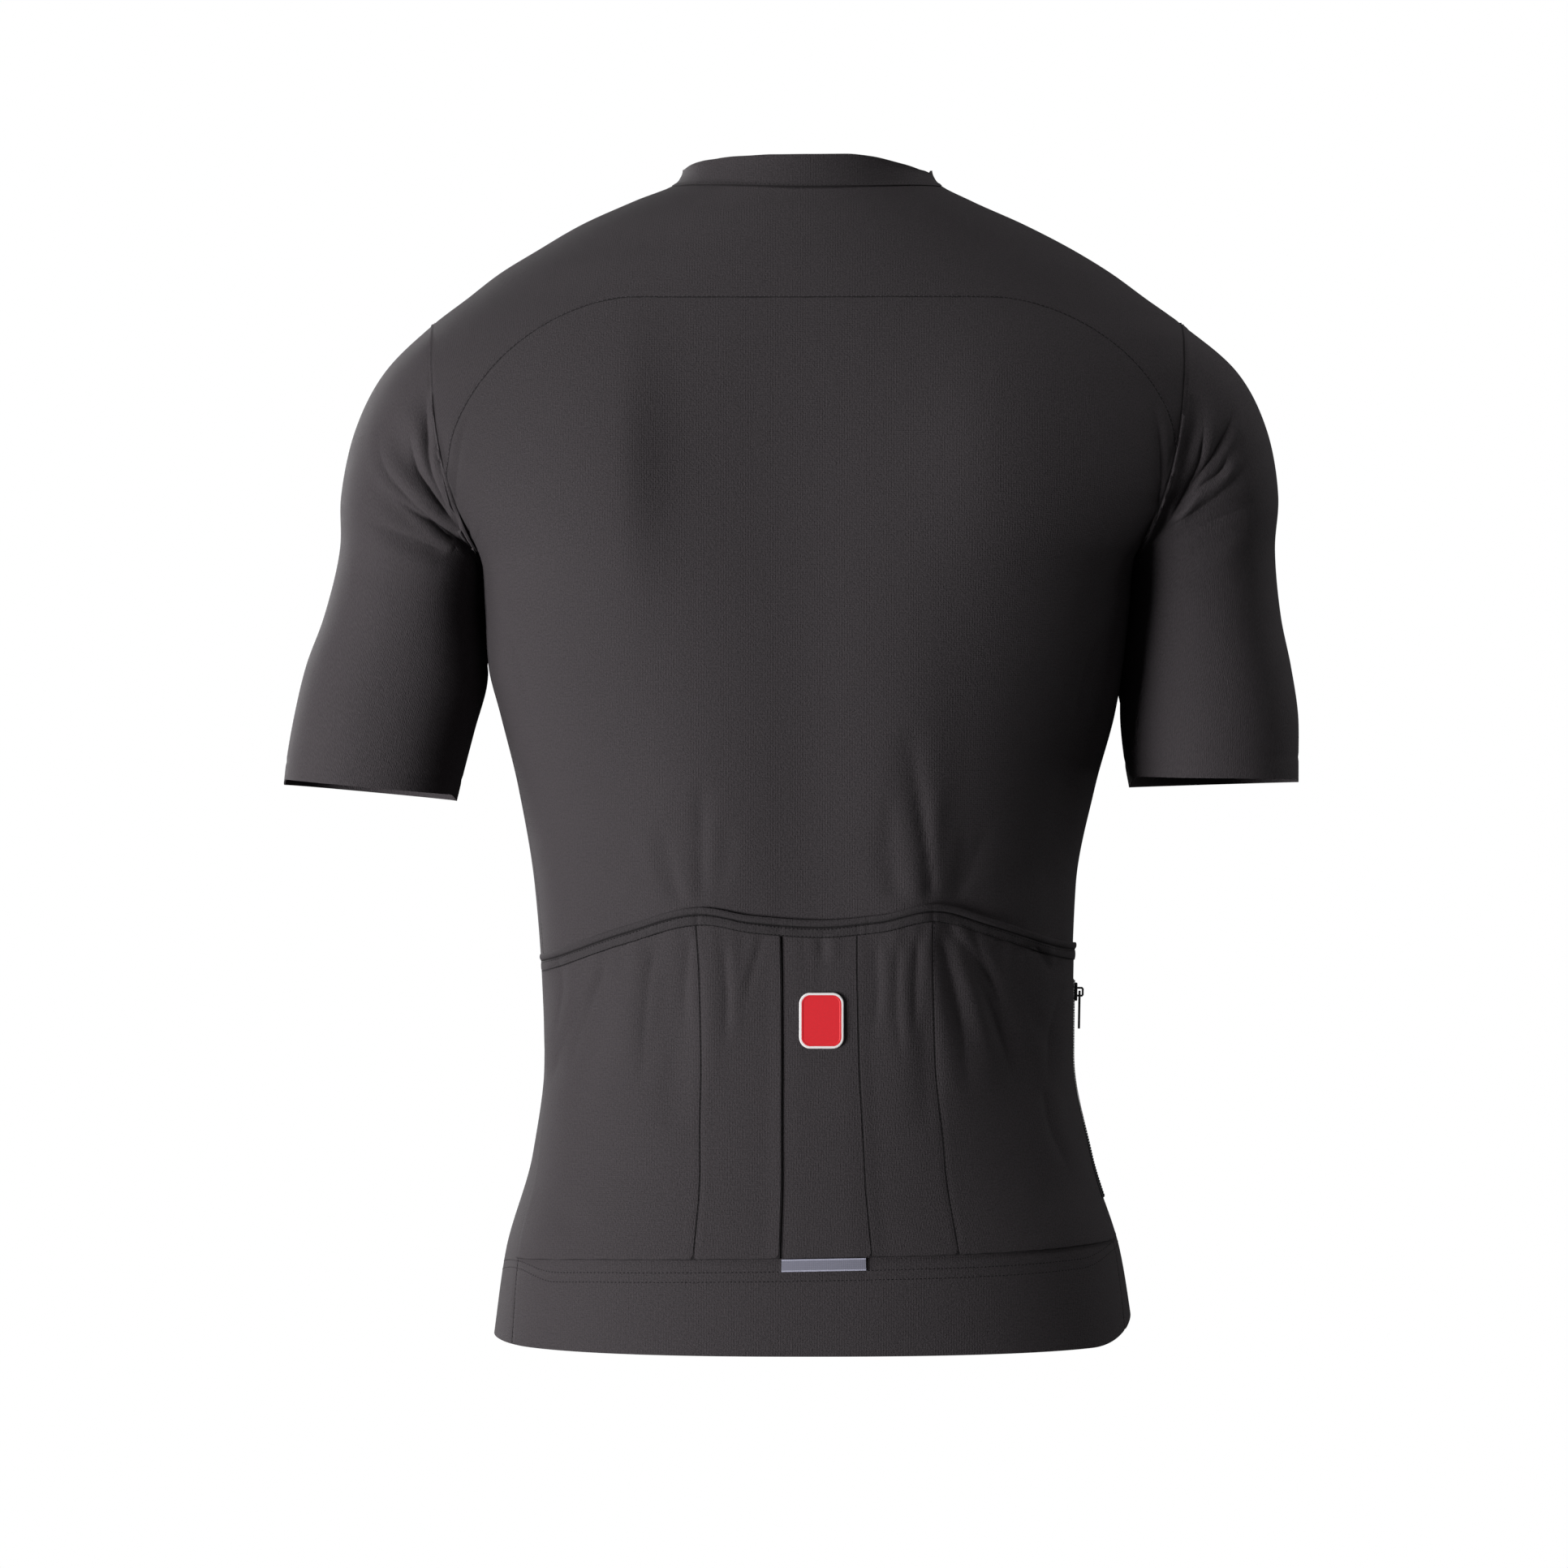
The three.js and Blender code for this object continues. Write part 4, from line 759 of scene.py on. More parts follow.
def relief(p, n):
    """Height of creases, swells and gathers at points of the cloth, outwards from the panel's form."""
    x, z = p[:, 0], p[:, 2]
    strength = bpy.context.scene.jersey_sizes.crease_strength
    behind = np.clip((0.3 - n[:, 1]) * 2, 0, 1)
    before = np.clip(n[:, 1] * 2, 0, 1)
    height = -crease_sum(x, z, FOLDS) * behind
    height -= strength * crease_sum(x, z, BACK_CREASES) * behind
    height -= strength * crease_sum(x, z, FRONT_CREASES) * before
    height += strength * pleat_sum(x, z, PLEATS) * behind
    for at_x, at_z, left, right, tall, high in SWELLS:
        wide = np.where(x < at_x, left, right)
        height += high * smooth((-0.12 - n[:, 1]) / 0.5) * np.exp(-(((x - at_x) / wide) ** 2) - ((z - at_z) / tall) ** 2)
    ahead = smooth((n[:, 1] - 0.2) / 0.5) * smooth((np.abs(x) - 6) / 30) * smooth((-70 - z) / 40)
    for at_x, at_z, left, right, tall, high in FRONT_SWELLS:
        wide = np.where(x < at_x, left, right)
        height += high * ahead * np.exp(-(((x - at_x) / wide) ** 2) - ((z - at_z) / tall) ** 2)
    pucker = np.sin(z / 2.9 + 1.4 * np.sin(z / 13.0)) * np.exp(-np.abs(np.abs(x) - 14) / 9)
    height += 0.28 * strength * before * smooth((np.abs(x) - 5) / 6) * pucker
    return height + gathers(x, z) * behind


def tree_of(lines, step=1.0):
    """A search tree over points set closely along lines."""
    points = []
    for line in lines:
        line = np.asarray(line, float)
        for a, b in zip(line, line[1:]):
            count = max(1, int(np.linalg.norm(b - a) / step))
            points.extend(a + (b - a) * (i / count) for i in range(count))
        points.append(line[-1])
    tree = KDTree(len(points))
    for i, p in enumerate(points):
        tree.insert(p, i)
    tree.balance()
    return tree


def away_from(p, lines):
    """How far points are from the nearest of some lines."""
    if not len(lines):
        return np.full(len(p), 50.0)
    tree = tree_of(lines, 0.5)
    return np.array([tree.find(q)[2] for q in p])


# Meshes


def joined(grids):
    """Points, faces and corner UVs of grids that share edge points. A UV is the cloth's own metres."""
    points, quads, uvs, base = [], [], [], 0
    for g in grids:
        rows, columns = g.shape[:2]
        index = np.arange(rows * columns).reshape(rows, columns) + base
        corners = [index[:-1, :-1], index[:-1, 1:], index[1:, 1:], index[1:, :-1]]
        quads.append(np.stack(corners, -1).reshape(-1, 4))
        points.append(g.reshape(-1, 3))
        u = np.zeros((rows, columns))
        v = np.zeros((rows, columns))
        u[:, 1:] = np.cumsum(np.linalg.norm(np.diff(g, axis=1), axis=2), axis=1)
        v[1:] = np.cumsum(np.linalg.norm(np.diff(g, axis=0), axis=2), axis=0)
        u -= u[:, columns // 2][:, None]
        uvs.append(np.stack([u, v], -1).reshape(-1, 2) * MM)
        base += rows * columns
    points, quads, uvs = np.concatenate(points), np.concatenate(quads), np.concatenate(uvs)
    _, first, same = np.unique(np.round(points * 50).astype(int), axis=0, return_index=True, return_inverse=True)
    return points[first], same.reshape(-1)[quads], uvs[quads]


def normals_of(points, quads):
    a, b, c, d = (points[quads[:, k]] for k in range(4))
    flat = np.cross(c - a, d - b)
    out = np.zeros_like(points)
    for k in range(4):
        np.add.at(out, quads[:, k], flat)
    return out / np.maximum(np.linalg.norm(out, axis=1), 1e-9)[:, None]


def new_object(name, points, faces, uvs=None, smooth=True):
    """A mesh object from points in millimetres. Corners that fall together are dropped."""
    kept_faces, kept_uvs = [], []
    for k, face in enumerate(faces):
        corners, places = [], []
        for j, i in enumerate(face):
            if i not in corners:
                corners.append(int(i))
                places.append(j)
        if len(corners) > 2:
            kept_faces.append(corners)
            if uvs is not None:
                kept_uvs.extend(uvs[k][j] for j in places)
    mesh = bpy.data.meshes.new(name)
    mesh.from_pydata((np.asarray(points) * MM).tolist(), [], kept_faces)
    if uvs is not None:
        layer = mesh.uv_layers.new(name="cloth")
        layer.data.foreach_set("uv", np.asarray(kept_uvs, np.float32).ravel())
    mesh.polygons.foreach_set("use_smooth", [smooth] * len(mesh.polygons))
    mesh.update()
    obj = bpy.data.objects.new(name, mesh)
    bpy.context.scene.collection.objects.link(obj)
    return obj


def take_place(obj, nodes, slot, body="garment"):
    """Hides the solids that a piece stands for and hangs it on the body it moves with. Its slot is not used."""
    if nodes:
        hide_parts(*nodes)
    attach(obj, body)
    return obj


SHELLS = {}


def cloth_shell(
    name, grids, nodes, slot, material, lift=0.0, thick=None, seams=(), calm=(), depth=0.18, welt=0.08,
    extra=None, bare=False,
):
    """A thin sheet on a panel's form, with its creases and a low furrow along its seams, closed to a wall."""
    points, quads, uvs = joined(grids)
    n = normals_of(points, quads)
    away = away_from(points, list(seams))
    height = lift + welt * np.exp(-(((away - 3.2) / 1.6) ** 2)) - depth * np.exp(-((away / 1.5) ** 2))
    if not bare:
        height = height + relief(points, n) * smooth(away_from(points, list(calm)) / 3)
    if extra is not None:
        height = height + extra(points)
    points = points + n * height[:, None]
    obj = new_object(name, points, quads, uvs)
    # How far each point is from a seam, from which the knit paints shade on the thin seam lines
    obj.data.attributes.new("seam", "FLOAT", "POINT").data.foreach_set("value", away.astype(np.float32))
    used = np.zeros(len(obj.data.edges), int)
    np.add.at(used, [loop.edge_index for loop in obj.data.loops], 1)
    obj.data.attributes.new("sharp_edge", "BOOLEAN", "EDGE").data.foreach_set("value", used == 1)
    SHELLS[name] = obj
    obj.data.materials.append(material)
    wall = obj.modifiers.new("wall", "SOLIDIFY")
    wall.thickness = (thick or bpy.context.scene.jersey_sizes.cloth_thickness * 1000) * MM
    wall.offset = -1
    wall.use_rim = True
    take_place(obj, nodes, slot)
    return obj


# Stitches and teeth, set by Geometry Nodes along lines on the cloth


def stitch_tree():
    """Sets a small oval on every point, turned along the point's line and flat on the cloth."""
    tree = bpy.data.node_groups.new("stitches", "GeometryNodeTree")
    sockets = (
        ("Geometry", "NodeSocketGeometry"), ("Length", "NodeSocketFloat"), ("Width", "NodeSocketFloat"),
        ("Height", "NodeSocketFloat"), ("Material", "NodeSocketMaterial"),
    )
    for label, kind in sockets:
        tree.interface.new_socket(label, in_out="INPUT", socket_type=kind)
    tree.interface.new_socket("Geometry", in_out="OUTPUT", socket_type="NodeSocketGeometry")
    node = tree.nodes.new
    link = tree.links.new
    start, end = node("NodeGroupInput"), node("NodeGroupOutput")
    oval = node("GeometryNodeMeshUVSphere")
    oval.inputs["Segments"].default_value = 6
    oval.inputs["Rings"].default_value = 4
    oval.inputs["Radius"].default_value = 0.5
    size = node("ShaderNodeCombineXYZ")
    for axis, label in zip("XYZ", ("Length", "Width", "Height")):
        link(start.outputs[label], size.inputs[axis])
    scaled = node("GeometryNodeTransform")
    link(oval.outputs["Mesh"], scaled.inputs["Geometry"])
    link(size.outputs[0], scaled.inputs["Scale"])
    turn = None
    for axis, label, pivot in (("X", "along", "AUTO"), ("Z", "out", "X")):
        read = node("GeometryNodeInputNamedAttribute")
        read.data_type = "FLOAT_VECTOR"
        read.inputs["Name"].default_value = label
        align = node("FunctionNodeAlignRotationToVector")
        align.axis = axis
        align.pivot_axis = pivot
        link(read.outputs["Attribute"], align.inputs["Vector"])
        if turn:
            link(turn.outputs["Rotation"], align.inputs["Rotation"])
        turn = align
    place = node("GeometryNodeInstanceOnPoints")
    link(start.outputs["Geometry"], place.inputs["Points"])
    link(scaled.outputs["Geometry"], place.inputs["Instance"])
    link(turn.outputs["Rotation"], place.inputs["Rotation"])
    real, smooth_faces, colour = node("GeometryNodeRealizeInstances"), node("GeometryNodeSetShadeSmooth"), node("GeometryNodeSetMaterial")
    link(place.outputs["Instances"], real.inputs["Geometry"])
    link(real.outputs["Geometry"], smooth_faces.inputs["Geometry"])
    link(smooth_faces.outputs["Geometry"], colour.inputs["Geometry"])
    link(start.outputs["Material"], colour.inputs["Material"])
    link(colour.outputs["Geometry"], end.inputs["Geometry"])
    return tree


def set_on_points(name, places, along, out, size, material, slot):
    """A piece of small ovals at points in millimetres."""
    mesh = bpy.data.meshes.new(name)
    mesh.from_pydata((np.asarray(places) * MM).tolist(), [], [])
    for label, values in (("along", along), ("out", out)):
        mesh.attributes.new(label, "FLOAT_VECTOR", "POINT").data.foreach_set(
            "vector", np.asarray(values, np.float32).ravel(),
        )
    obj = bpy.data.objects.new(name, mesh)
    bpy.context.scene.collection.objects.link(obj)
    tree = bpy.data.node_groups.get("stitches") or stitch_tree()
    setter = obj.modifiers.new("stitches", "NODES")
    setter.node_group = tree
    values = dict(zip(("Length", "Width", "Height"), (s * MM for s in size)), Material=material)
    for item in tree.interface.items_tree:
        if item.in_out == "INPUT" and item.name in values:
            setter[item.identifier] = values[item.name]
    depsgraph = bpy.context.evaluated_depsgraph_get()
    made = bpy.data.meshes.new_from_object(obj.evaluated_get(depsgraph), depsgraph=depsgraph)
    obj.modifiers.clear()
    obj.data = made
    return take_place(obj, (), slot)


def along_line(line, pitch, start=0.5):
    """Evenly spaced points along a line, with their directions."""
    line = np.asarray(line, float)
    sums = np.concatenate([[0], np.cumsum(np.linalg.norm(np.diff(line, axis=0), axis=1))])
    at = np.arange(start * pitch, sums[-1], pitch)
    places = np.stack([np.interp(at, sums, line[:, k]) for k in range(3)], -1)
    ahead = np.stack([np.interp(at + 0.5, sums, line[:, k]) for k in range(3)], -1)
    behind = np.stack([np.interp(at - 0.5, sums, line[:, k]) for k in range(3)], -1)
    along = ahead - behind
    return places, along / np.maximum(np.linalg.norm(along, axis=1), 1e-9)[:, None]


def on_shells(places, shells):
    """The nearest points of the outer faces of some shells, with their normals, in millimetres."""
    trees = []
    for shell in shells:
        mesh = SHELLS[shell].data
        points = [v.co / MM for v in mesh.vertices]
        trees.append(BVHTree.FromPolygons(points, [tuple(f.vertices) for f in mesh.polygons]))
    found, out = [], []
    for p in places:
        place, normal = min((t.find_nearest(p) for t in trees), key=lambda hit: hit[3])[:2]
        found.append(place)
        out.append(normal)
    return np.array(found), np.array(out)


def stitch_rows(name, rows, shells, material, slot, length=1.7, pitch=2.5, width=0.5, height=0.32):
    """Stitches along lines on shells. A row is a line and how far the stitches lie to its side."""
    places, along = [], []
    for line, shift in rows:
        p, a = along_line(line, pitch)
        if shift:
            _, n = on_shells(p, shells)
            p = p + np.cross(n, a) * shift
        places.append(p)
        along.append(a)
    places, out = on_shells(np.concatenate(places), shells)
    return set_on_points(
        name, places + out * 0.05, np.concatenate(along), out, (length, width, height), material, slot,
    )


# Materials


class Sock:
    """An output of a node that can be used in sums."""

    def __init__(self, net, socket):
        self.net = net
        self.socket = socket

    def math(self, operation, *others):
        values = dict(enumerate((self, *others)))
        return self.net.node("ShaderNodeMath", {"operation": operation}, values)

    def __add__(self, other):
        return self.math("ADD", other)

    __radd__ = __add__

    def __mul__(self, other):
        return self.math("MULTIPLY", other)

    __rmul__ = __mul__

    def __sub__(self, other):
        return self.math("SUBTRACT", other)

    def __rsub__(self, other):
        return self.net.node("ShaderNodeMath", {"operation": "SUBTRACT"}, {0: other, 1: self})

    def __truediv__(self, other):
        return self.math("DIVIDE", other)

    def __abs__(self):
        return self.math("ABSOLUTE")

    def wave(self):
        return self.math("SINE")

    def over(self, other):
        return self.math("GREATER_THAN", other)


class Net:
    """The nodes of one material."""

    def __init__(self, name):
        self.material = bpy.data.materials.new(name)
        self.material.use_nodes = True
        self.tree = self.material.node_tree
        self.tree.nodes.clear()

    def node(self, kind, settings=None, inputs=None, output=0):
        made = self.tree.nodes.new(kind)
        for key, value in (settings or {}).items():
            if key == "stops":
                ramp = made.color_ramp.elements
                while len(ramp) < len(value):
                    ramp.new(0.5)
                for stop, (at, colour) in zip(ramp, value):
                    stop.position = at
                    stop.color = colour
            else:
                setattr(made, key, value)
        for key, value in (inputs or {}).items():
            if isinstance(value, Sock):
                self.tree.links.new(value.socket, made.inputs[key])
            else:
                made.inputs[key].default_value = value
        return Sock(self, made.outputs[output])

    def seam(self):
        """1 on the thin line of a seam, 0 beside it: the mask of the seam line's painted shade and of its bump."""
        away = self.node("ShaderNodeAttribute", {"attribute_name": "seam"}, output="Fac")
        return self.node("ShaderNodeMath", {"operation": "MULTIPLY", "use_clamp": True}, {0: 0.66 - away, 1: 2.4})

    def uv(self):
        return self.node("ShaderNodeUVMap", {"uv_map": "cloth"})

    def place(self):
        return self.node("ShaderNodeTexCoord", output="Object")

    def noise(self, vector, scale, detail=3.0, roughness=0.55):
        return self.node(
            "ShaderNodeTexNoise", {}, {"Vector": vector, "Scale": scale, "Detail": detail, "Roughness": roughness},
        )

    def mix(self, share, a, b):
        return self.node("ShaderNodeMix", {"data_type": "RGBA"}, {0: share, 6: a, 7: b}, output=2)

    def bump(self, height, distance, strength=1.0, normal=None):
        values = {"Height": height, "Distance": distance, "Strength": strength}
        if normal is not None:
            values["Normal"] = normal
        return self.node("ShaderNodeBump", {}, values)

    def finish(self, **inputs):
        values = {key.replace("_", " "): value for key, value in inputs.items()}
        shader = self.node("ShaderNodeBsdfPrincipled", {}, values)
        self.node_output(shader)
        return self.material

    def node_output(self, shader):
        end = self.tree.nodes.new("ShaderNodeOutputMaterial")
        self.tree.links.new(shader.socket, end.inputs["Surface"])


def rgba(colour, gain=1.0):
    return (*[min(1.0, c * gain) for c in colour], 1.0)


def knit(name, colour, pitch=0.9, ribs=0.0, sheen=0.02, melange=0.3):
    """A fine knit: wales and courses in the bump, a fleck in the yarn, slow changes of tone and painted shade on
    the thin seam lines.
    """
    net = Net(name)
    uv = net.uv()
    split = net.node("ShaderNodeSeparateXYZ", {}, {0: uv})
    up = Sock(net, split.socket.node.outputs[1])
    turn = 2 * math.pi / (pitch * MM)
    wales = (split * turn).wave()
    courses = (up * (turn * 1.2)).wave()
    fleck = ((net.noise(uv, 950.0, 2.0, 0.6) - 0.5) * 3.2 + 0.5).math("MAXIMUM", 0.0).math("MINIMUM", 1.0)
    slow = net.noise(net.place(), 9.0, 3.0)
    dark, light = rgba(colour, 1 - melange), rgba(colour, 1 + melange)
    tone = net.mix(fleck, dark, light)
    tone = net.mix(slow * 0.5, tone, rgba(colour, 1.18))
    seam = net.seam()
    # Painted shade: the thin seam lines are darkened to stand in for the shade in the seam's furrow; the bump below
    # is real relief
    tone = net.mix(seam * 0.8, tone, rgba(colour, 0.22))
    height = wales * 0.35 + courses * 0.25 + fleck * 1.2
    if ribs:
        height = height + (split * (2 * math.pi / (ribs * MM))).wave() * 1.6
    height = height - seam * 3.0
    rough = 0.72 + 0.2 * fleck
    wander = net.noise(uv, 120.0, 2.0)
    fine = net.bump(height, 0.00012, 0.9)
    normal = net.bump(wander, 0.0005, 0.25, fine)
    return net.finish(
        Base_Color=tone, Roughness=rough, Normal=normal, Sheen_Weight=sheen, Sheen_Roughness=0.5,
        Specular_IOR_Level=0.12,
    )


def thread(name, colour):
    """Twisted sewing thread."""
    net = Net(name)
    place = net.place()
    grain = net.noise(place, 2600.0, 2.0)
    tone = net.mix(grain, rgba(colour, 0.8), rgba(colour, 1.25))
    return net.finish(
        Base_Color=tone, Roughness=0.7 + 0.2 * grain, Normal=net.bump(grain, 0.0001, 0.5), Specular_IOR_Level=0.15,
    )


def reflective_film(name, colour):
    """Grey reflective film with a fine net of cells and paler long edges."""
    net = Net(name)
    split = net.node("ShaderNodeSeparateXYZ", {}, {0: net.uv()})
    up = Sock(net, split.socket.node.outputs[1])
    turn = 2 * math.pi / 0.0014
    cells = ((split + up) * turn).wave() * ((split - up) * turn).wave()
    grain = net.noise(net.place(), 900.0, 3.0)
    tone = net.mix(0.5 + 0.5 * cells, rgba(colour, 0.85), rgba(colour, 1.15))
    tone = net.mix(grain * 0.3, tone, rgba(colour, 0.7))
    edge = abs(up - 0.0033).over(0.0026)
    tone = net.mix(edge, tone, rgba(colour, 1.9))
    return net.finish(
        Base_Color=tone, Roughness=0.34 + 0.15 * grain, Normal=net.bump(cells, 0.00008, 0.5), Metallic=0.35,
    )


def patch_rubber(name, colour, rim, half, corner):
    """A soft moulded patch: plain colour inside a pale rim that follows its rounded outline."""
    net = Net(name)
    split = net.node("ShaderNodeSeparateXYZ", {}, {0: net.uv()})
    up = Sock(net, split.socket.node.outputs[1])
    past_x = (abs(split) - (half[0] - corner) * MM).math("MAXIMUM", 0.0)
    past_y = (abs(up) - (half[1] - corner) * MM).math("MAXIMUM", 0.0)
    out = (past_x * past_x + past_y * past_y).math("SQRT")
    flat = (abs(split) - (half[0] - 1.3) * MM).math("MAXIMUM", abs(up) - (half[1] - 1.3) * MM)
    band = (out - (corner - 1.3) * MM).math("MAXIMUM", flat).over(0.0)
    grain = net.noise(net.place(), 1100.0, 3.0)
    tone = net.mix(grain, rgba(colour, 0.86), rgba(colour, 1.12))
    tone = net.mix(band, tone, net.mix(grain, rgba(rim, 0.88), rgba(rim, 1.05)))
    height = grain * 0.4 + band * 3.0
    return net.finish(Base_Color=tone, Roughness=0.5 + 0.2 * grain, Normal=net.bump(height, 0.00012, 0.7))


def satin_metal(name, colour):
    """Black painted zip metal, a little worn to bare metal in scattered patches."""
    net = Net(name)
    place = net.place()
    grain = net.noise(place, 1500.0, 4.0)
    wear = net.noise(place, 420.0, 5.0, 0.7).over(0.63)
    tone = net.mix(wear * 0.5, net.mix(grain, rgba(colour, 0.8), rgba(colour, 1.3)), (0.35, 0.35, 0.37, 1))
    return net.finish(
        Base_Color=tone, Roughness=0.3 + 0.25 * grain, Metallic=0.4 + 0.5 * wear,
        Normal=net.bump(grain, 0.00006, 0.4),
    )


def material_of(name):
    """A finish of the jersey by its name, made the first time it is asked for."""
    if name in bpy.data.materials:
        return bpy.data.materials[name]
    c = bpy.context.scene.jersey_colours
    makers = {
        "cloth_knit": lambda: knit(name, c.cloth),
        # Painted light: the sleeves' knit is a lighter copy of the body's cloth, standing in for the light its nap
        # catches when it lies another way
        "sleeve_knit": lambda: knit(name, [v * 1.12 for v in c.cloth], 0.8),
        "collar_knit": lambda: knit(name, [v * 0.9 for v in c.cloth], 0.9),
        "binding_knit": lambda: knit(name, c.binding, 0.8),
        "zip_weave": lambda: knit(name, c.zip_tape, 0.7, ribs=1.1, sheen=0.1),
        "sewing_thread": lambda: thread(name, c.thread),
        "pale_thread": lambda: thread(name, [v * 9 for v in c.thread]),
        "zip_coil": lambda: thread(name, c.zip_tape),
        "reflective_film": lambda: reflective_film(name, c.reflective),
        "patch_rubber": lambda: patch_rubber(name, c.patch, c.patch_rim, (12, 15), 6),
        "satin_metal": lambda: satin_metal(name, c.metal),
        "floor_paper": lambda: floor_paper(name),
    }
    return makers[name]()


def floor_paper(name):
    net = Net(name)
    grain = net.noise(net.place(), 30.0, 3.0)
    tone = net.mix(grain, (0.8, 0.8, 0.8, 1), (0.84, 0.84, 0.84, 1))
    return net.finish(Base_Color=tone, Roughness=0.95, Emission_Color=(1.0, 1.0, 1.0, 1.0), Emission_Strength=0.55)


def length(label, words, default, high=0.02):
    return bpy.props.FloatProperty(
        name=label, description=words, default=default, min=0.0, max=high, unit="LENGTH", precision=4,
    )


def power(label, words, default):
    return bpy.props.FloatProperty(name=label, description=words, default=default, min=0.0, subtype="POWER")


def number(label, words, default, low, high):
    return bpy.props.FloatProperty(name=label, description=words, default=default, min=low, max=high)


def colour(label, words, default):
    return bpy.props.FloatVectorProperty(
        name=label, description=words, default=default, size=3, subtype="COLOR", min=0.0, max=1.0,
    )


class JerseySizes(bpy.types.PropertyGroup):
    cloth_thickness: length("Cloth", "Thickness of the knit", 0.0009)
    stitch_length: length("Stitch", "Length of one stitch", 0.0017)
    stitch_pitch: length("Stitch pitch", "From one stitch to the next", 0.0026)
    tooth_pitch: length("Tooth pitch", "From one zip tooth to the next", 0.0016)
    crease_strength: number("Creases", "Strength of the finer creases", 1.0, 0.0, 3.0)


class JerseyColours(bpy.types.PropertyGroup):
    cloth: colour("Cloth", "Yarn of the panels", (0.0415, 0.0365, 0.0395))
    binding: colour("Binding", "Elastic edge of the pockets", (0.036, 0.032, 0.0345))
    thread: colour("Thread", "Sewing thread", (0.009, 0.008, 0.009))
    reflective: colour("Reflective", "Reflective film", (0.27, 0.27, 0.34))
    patch: colour("Patch", "Middle of the patch", (0.72, 0.010, 0.020))
    patch_rim: colour("Patch rim", "Rim of the patch", (0.85, 0.82, 0.82))
    zip_tape: colour("Zip", "Tape and coil of the zips", (0.022, 0.021, 0.023))
    metal: colour("Metal", "Sliders and pulls", (0.03, 0.03, 0.032))


class JerseyStudio(bpy.types.PropertyGroup):
    camera_away: length("Camera", "From the camera to the jersey's middle", 3.0, 10.0)
    pixels_away: number("Focal length", "Focal length in pixels of the photo", 6667.0, 100.0, 20000.0)
    key_power: power("Key light", "Power of the soft light on the left", 40.0)
    top_power: power("Top light", "Power of the soft light overhead", 12.0)
    fill_power: power("Fill light", "Power of the soft light on the right", 0.3)
    front_power: power("Front lights", "Power of the soft lights on the right and the front", 16.0)
    surround: bpy.props.FloatProperty(
        name="Surround", description="Share of the white surround's light that reaches the jersey", default=0.06,
        min=0.0, max=1.0, subtype="FACTOR",
    )


# Rows and columns of the fine shells
LOWER_FINE = np.concatenate([np.linspace(0, 3, 25), np.linspace(3, 13, 41)[1:], np.linspace(13, 14, 5)[1:], np.linspace(14, 24, 71)[1:]])
POCKET_FINE = np.linspace(3, 13, 73)
BACK_COLUMNS = 168


def between(one, other, count, rows=POCKET_FINE):
    """Points of the back between two lines of the pockets."""
    fine = np.linspace(-90, 90, 1441)
    whole = back_point(fine, rows)
    out = []
    for points, up in zip(whole, (np.asarray(rows, float) - 3) / 10):
        ends = [lerp(POCKET_LINES[k][1], POCKET_LINES[k][0], up) for k in (one, other)]
        at = np.linspace(*ends, count + 1)
        out.append(np.stack([np.interp(at, fine, points[:, k]) for k in range(3)], -1))
    return np.stack(out)


def pocket_line(name):
    return between(name, name, 1)[:, 0]


def seam_lines():
    """The jersey's seams, as lines of points in millimetres."""
    across = np.linspace(-90, 90, 241)
    lines = {"yoke": body_point(across, yoke_seam_height(across))}
    lines["neck"] = neckline(200)
    t = np.linspace(0, 1, 60)
    for side, sign in SIGN.items():
        z = edge_height(UNDERARM_Z, SHOULDER_POINT_Z, t)
        back = body_point(sign * 90, z)
        front = body_point(sign * FRONT_EDGE, edge_height(SHOULDER_POINT_Z, UNDERARM_Z, t))
        lines[f"armhole_{side}"] = np.concatenate([back, front])
        lines[f"armhole_back_{side}"] = back
        lines[f"side_{side}"] = back_point(np.array([sign * 90.0]), np.linspace(0, 24, 120))[:, 0]
        angle, height = front_seam(side, t)
        lines[f"shoulder_{side}"] = body_point(angle, height)
    return lines


def hem_lines():
    """The two sewn rows that hold the hem, round the back and both fronts."""
    lines = []
    whole = [(np.linspace(-90, 90, 400), back_point(np.linspace(-90, 90, 400), np.array([3.0, 2.0])))]
    for side in SIGN:
        rows = front_surface(side, 160, [3.0, 2.0], 2)[:2]
        share = np.linspace(0, 1, 161)
        share = share if side == "right" else share[::-1]
        whole.append((90 - 90 * share, rows))
    for near, far in ((1.3, 6.8), (5.2, 11.9)):
        for across, (foot, under) in whole:
            down = (under - foot) / np.linalg.norm(under - foot, axis=1)[:, None]
            into = smooth((90 - np.abs(across)) / 24)
            lines.append(foot + down * lerp(near, far, into)[:, None])
    return lines


def sizes():
    return bpy.context.scene.jersey_sizes


class JERSEY_OT_back(bpy.types.Operator):
    """Makes the back panel"""

    bl_idname = "jersey.back"
    bl_label = "Back"

    def execute(self, context):
        lines = seam_lines()
        seams = [lines[k] for k in ("yoke", "armhole_right", "side_left", "side_right")]
        armholes = [lines["armhole_left"], lines["armhole_right"]]
        grids = [back_surface(BACK_COLUMNS, LOWER_FINE, 52)]
        cloth_shell("back_cloth", grids, ["back"], "cloth", material_of("cloth_knit"), seams=seams, calm=armholes)
        return {"FINISHED"}


class JERSEY_OT_yoke(bpy.types.Operator):
    """Makes the shoulder yoke"""

    bl_idname = "jersey.yoke"
    bl_label = "Yoke"

    def execute(self, context):
        lines = seam_lines()
        seams = [lines[k] for k in ("yoke", "neck", "armhole_right", "shoulder_left", "shoulder_right")]
        armholes = [lines["armhole_left"], lines["armhole_right"]]
        grids = yoke_surfaces(BACK_COLUMNS, 80, 40, 12)
        cloth_shell("yoke_cloth", grids, ["yoke"], "cloth", material_of("cloth_knit"), seams=seams, calm=armholes)
        return {"FINISHED"}


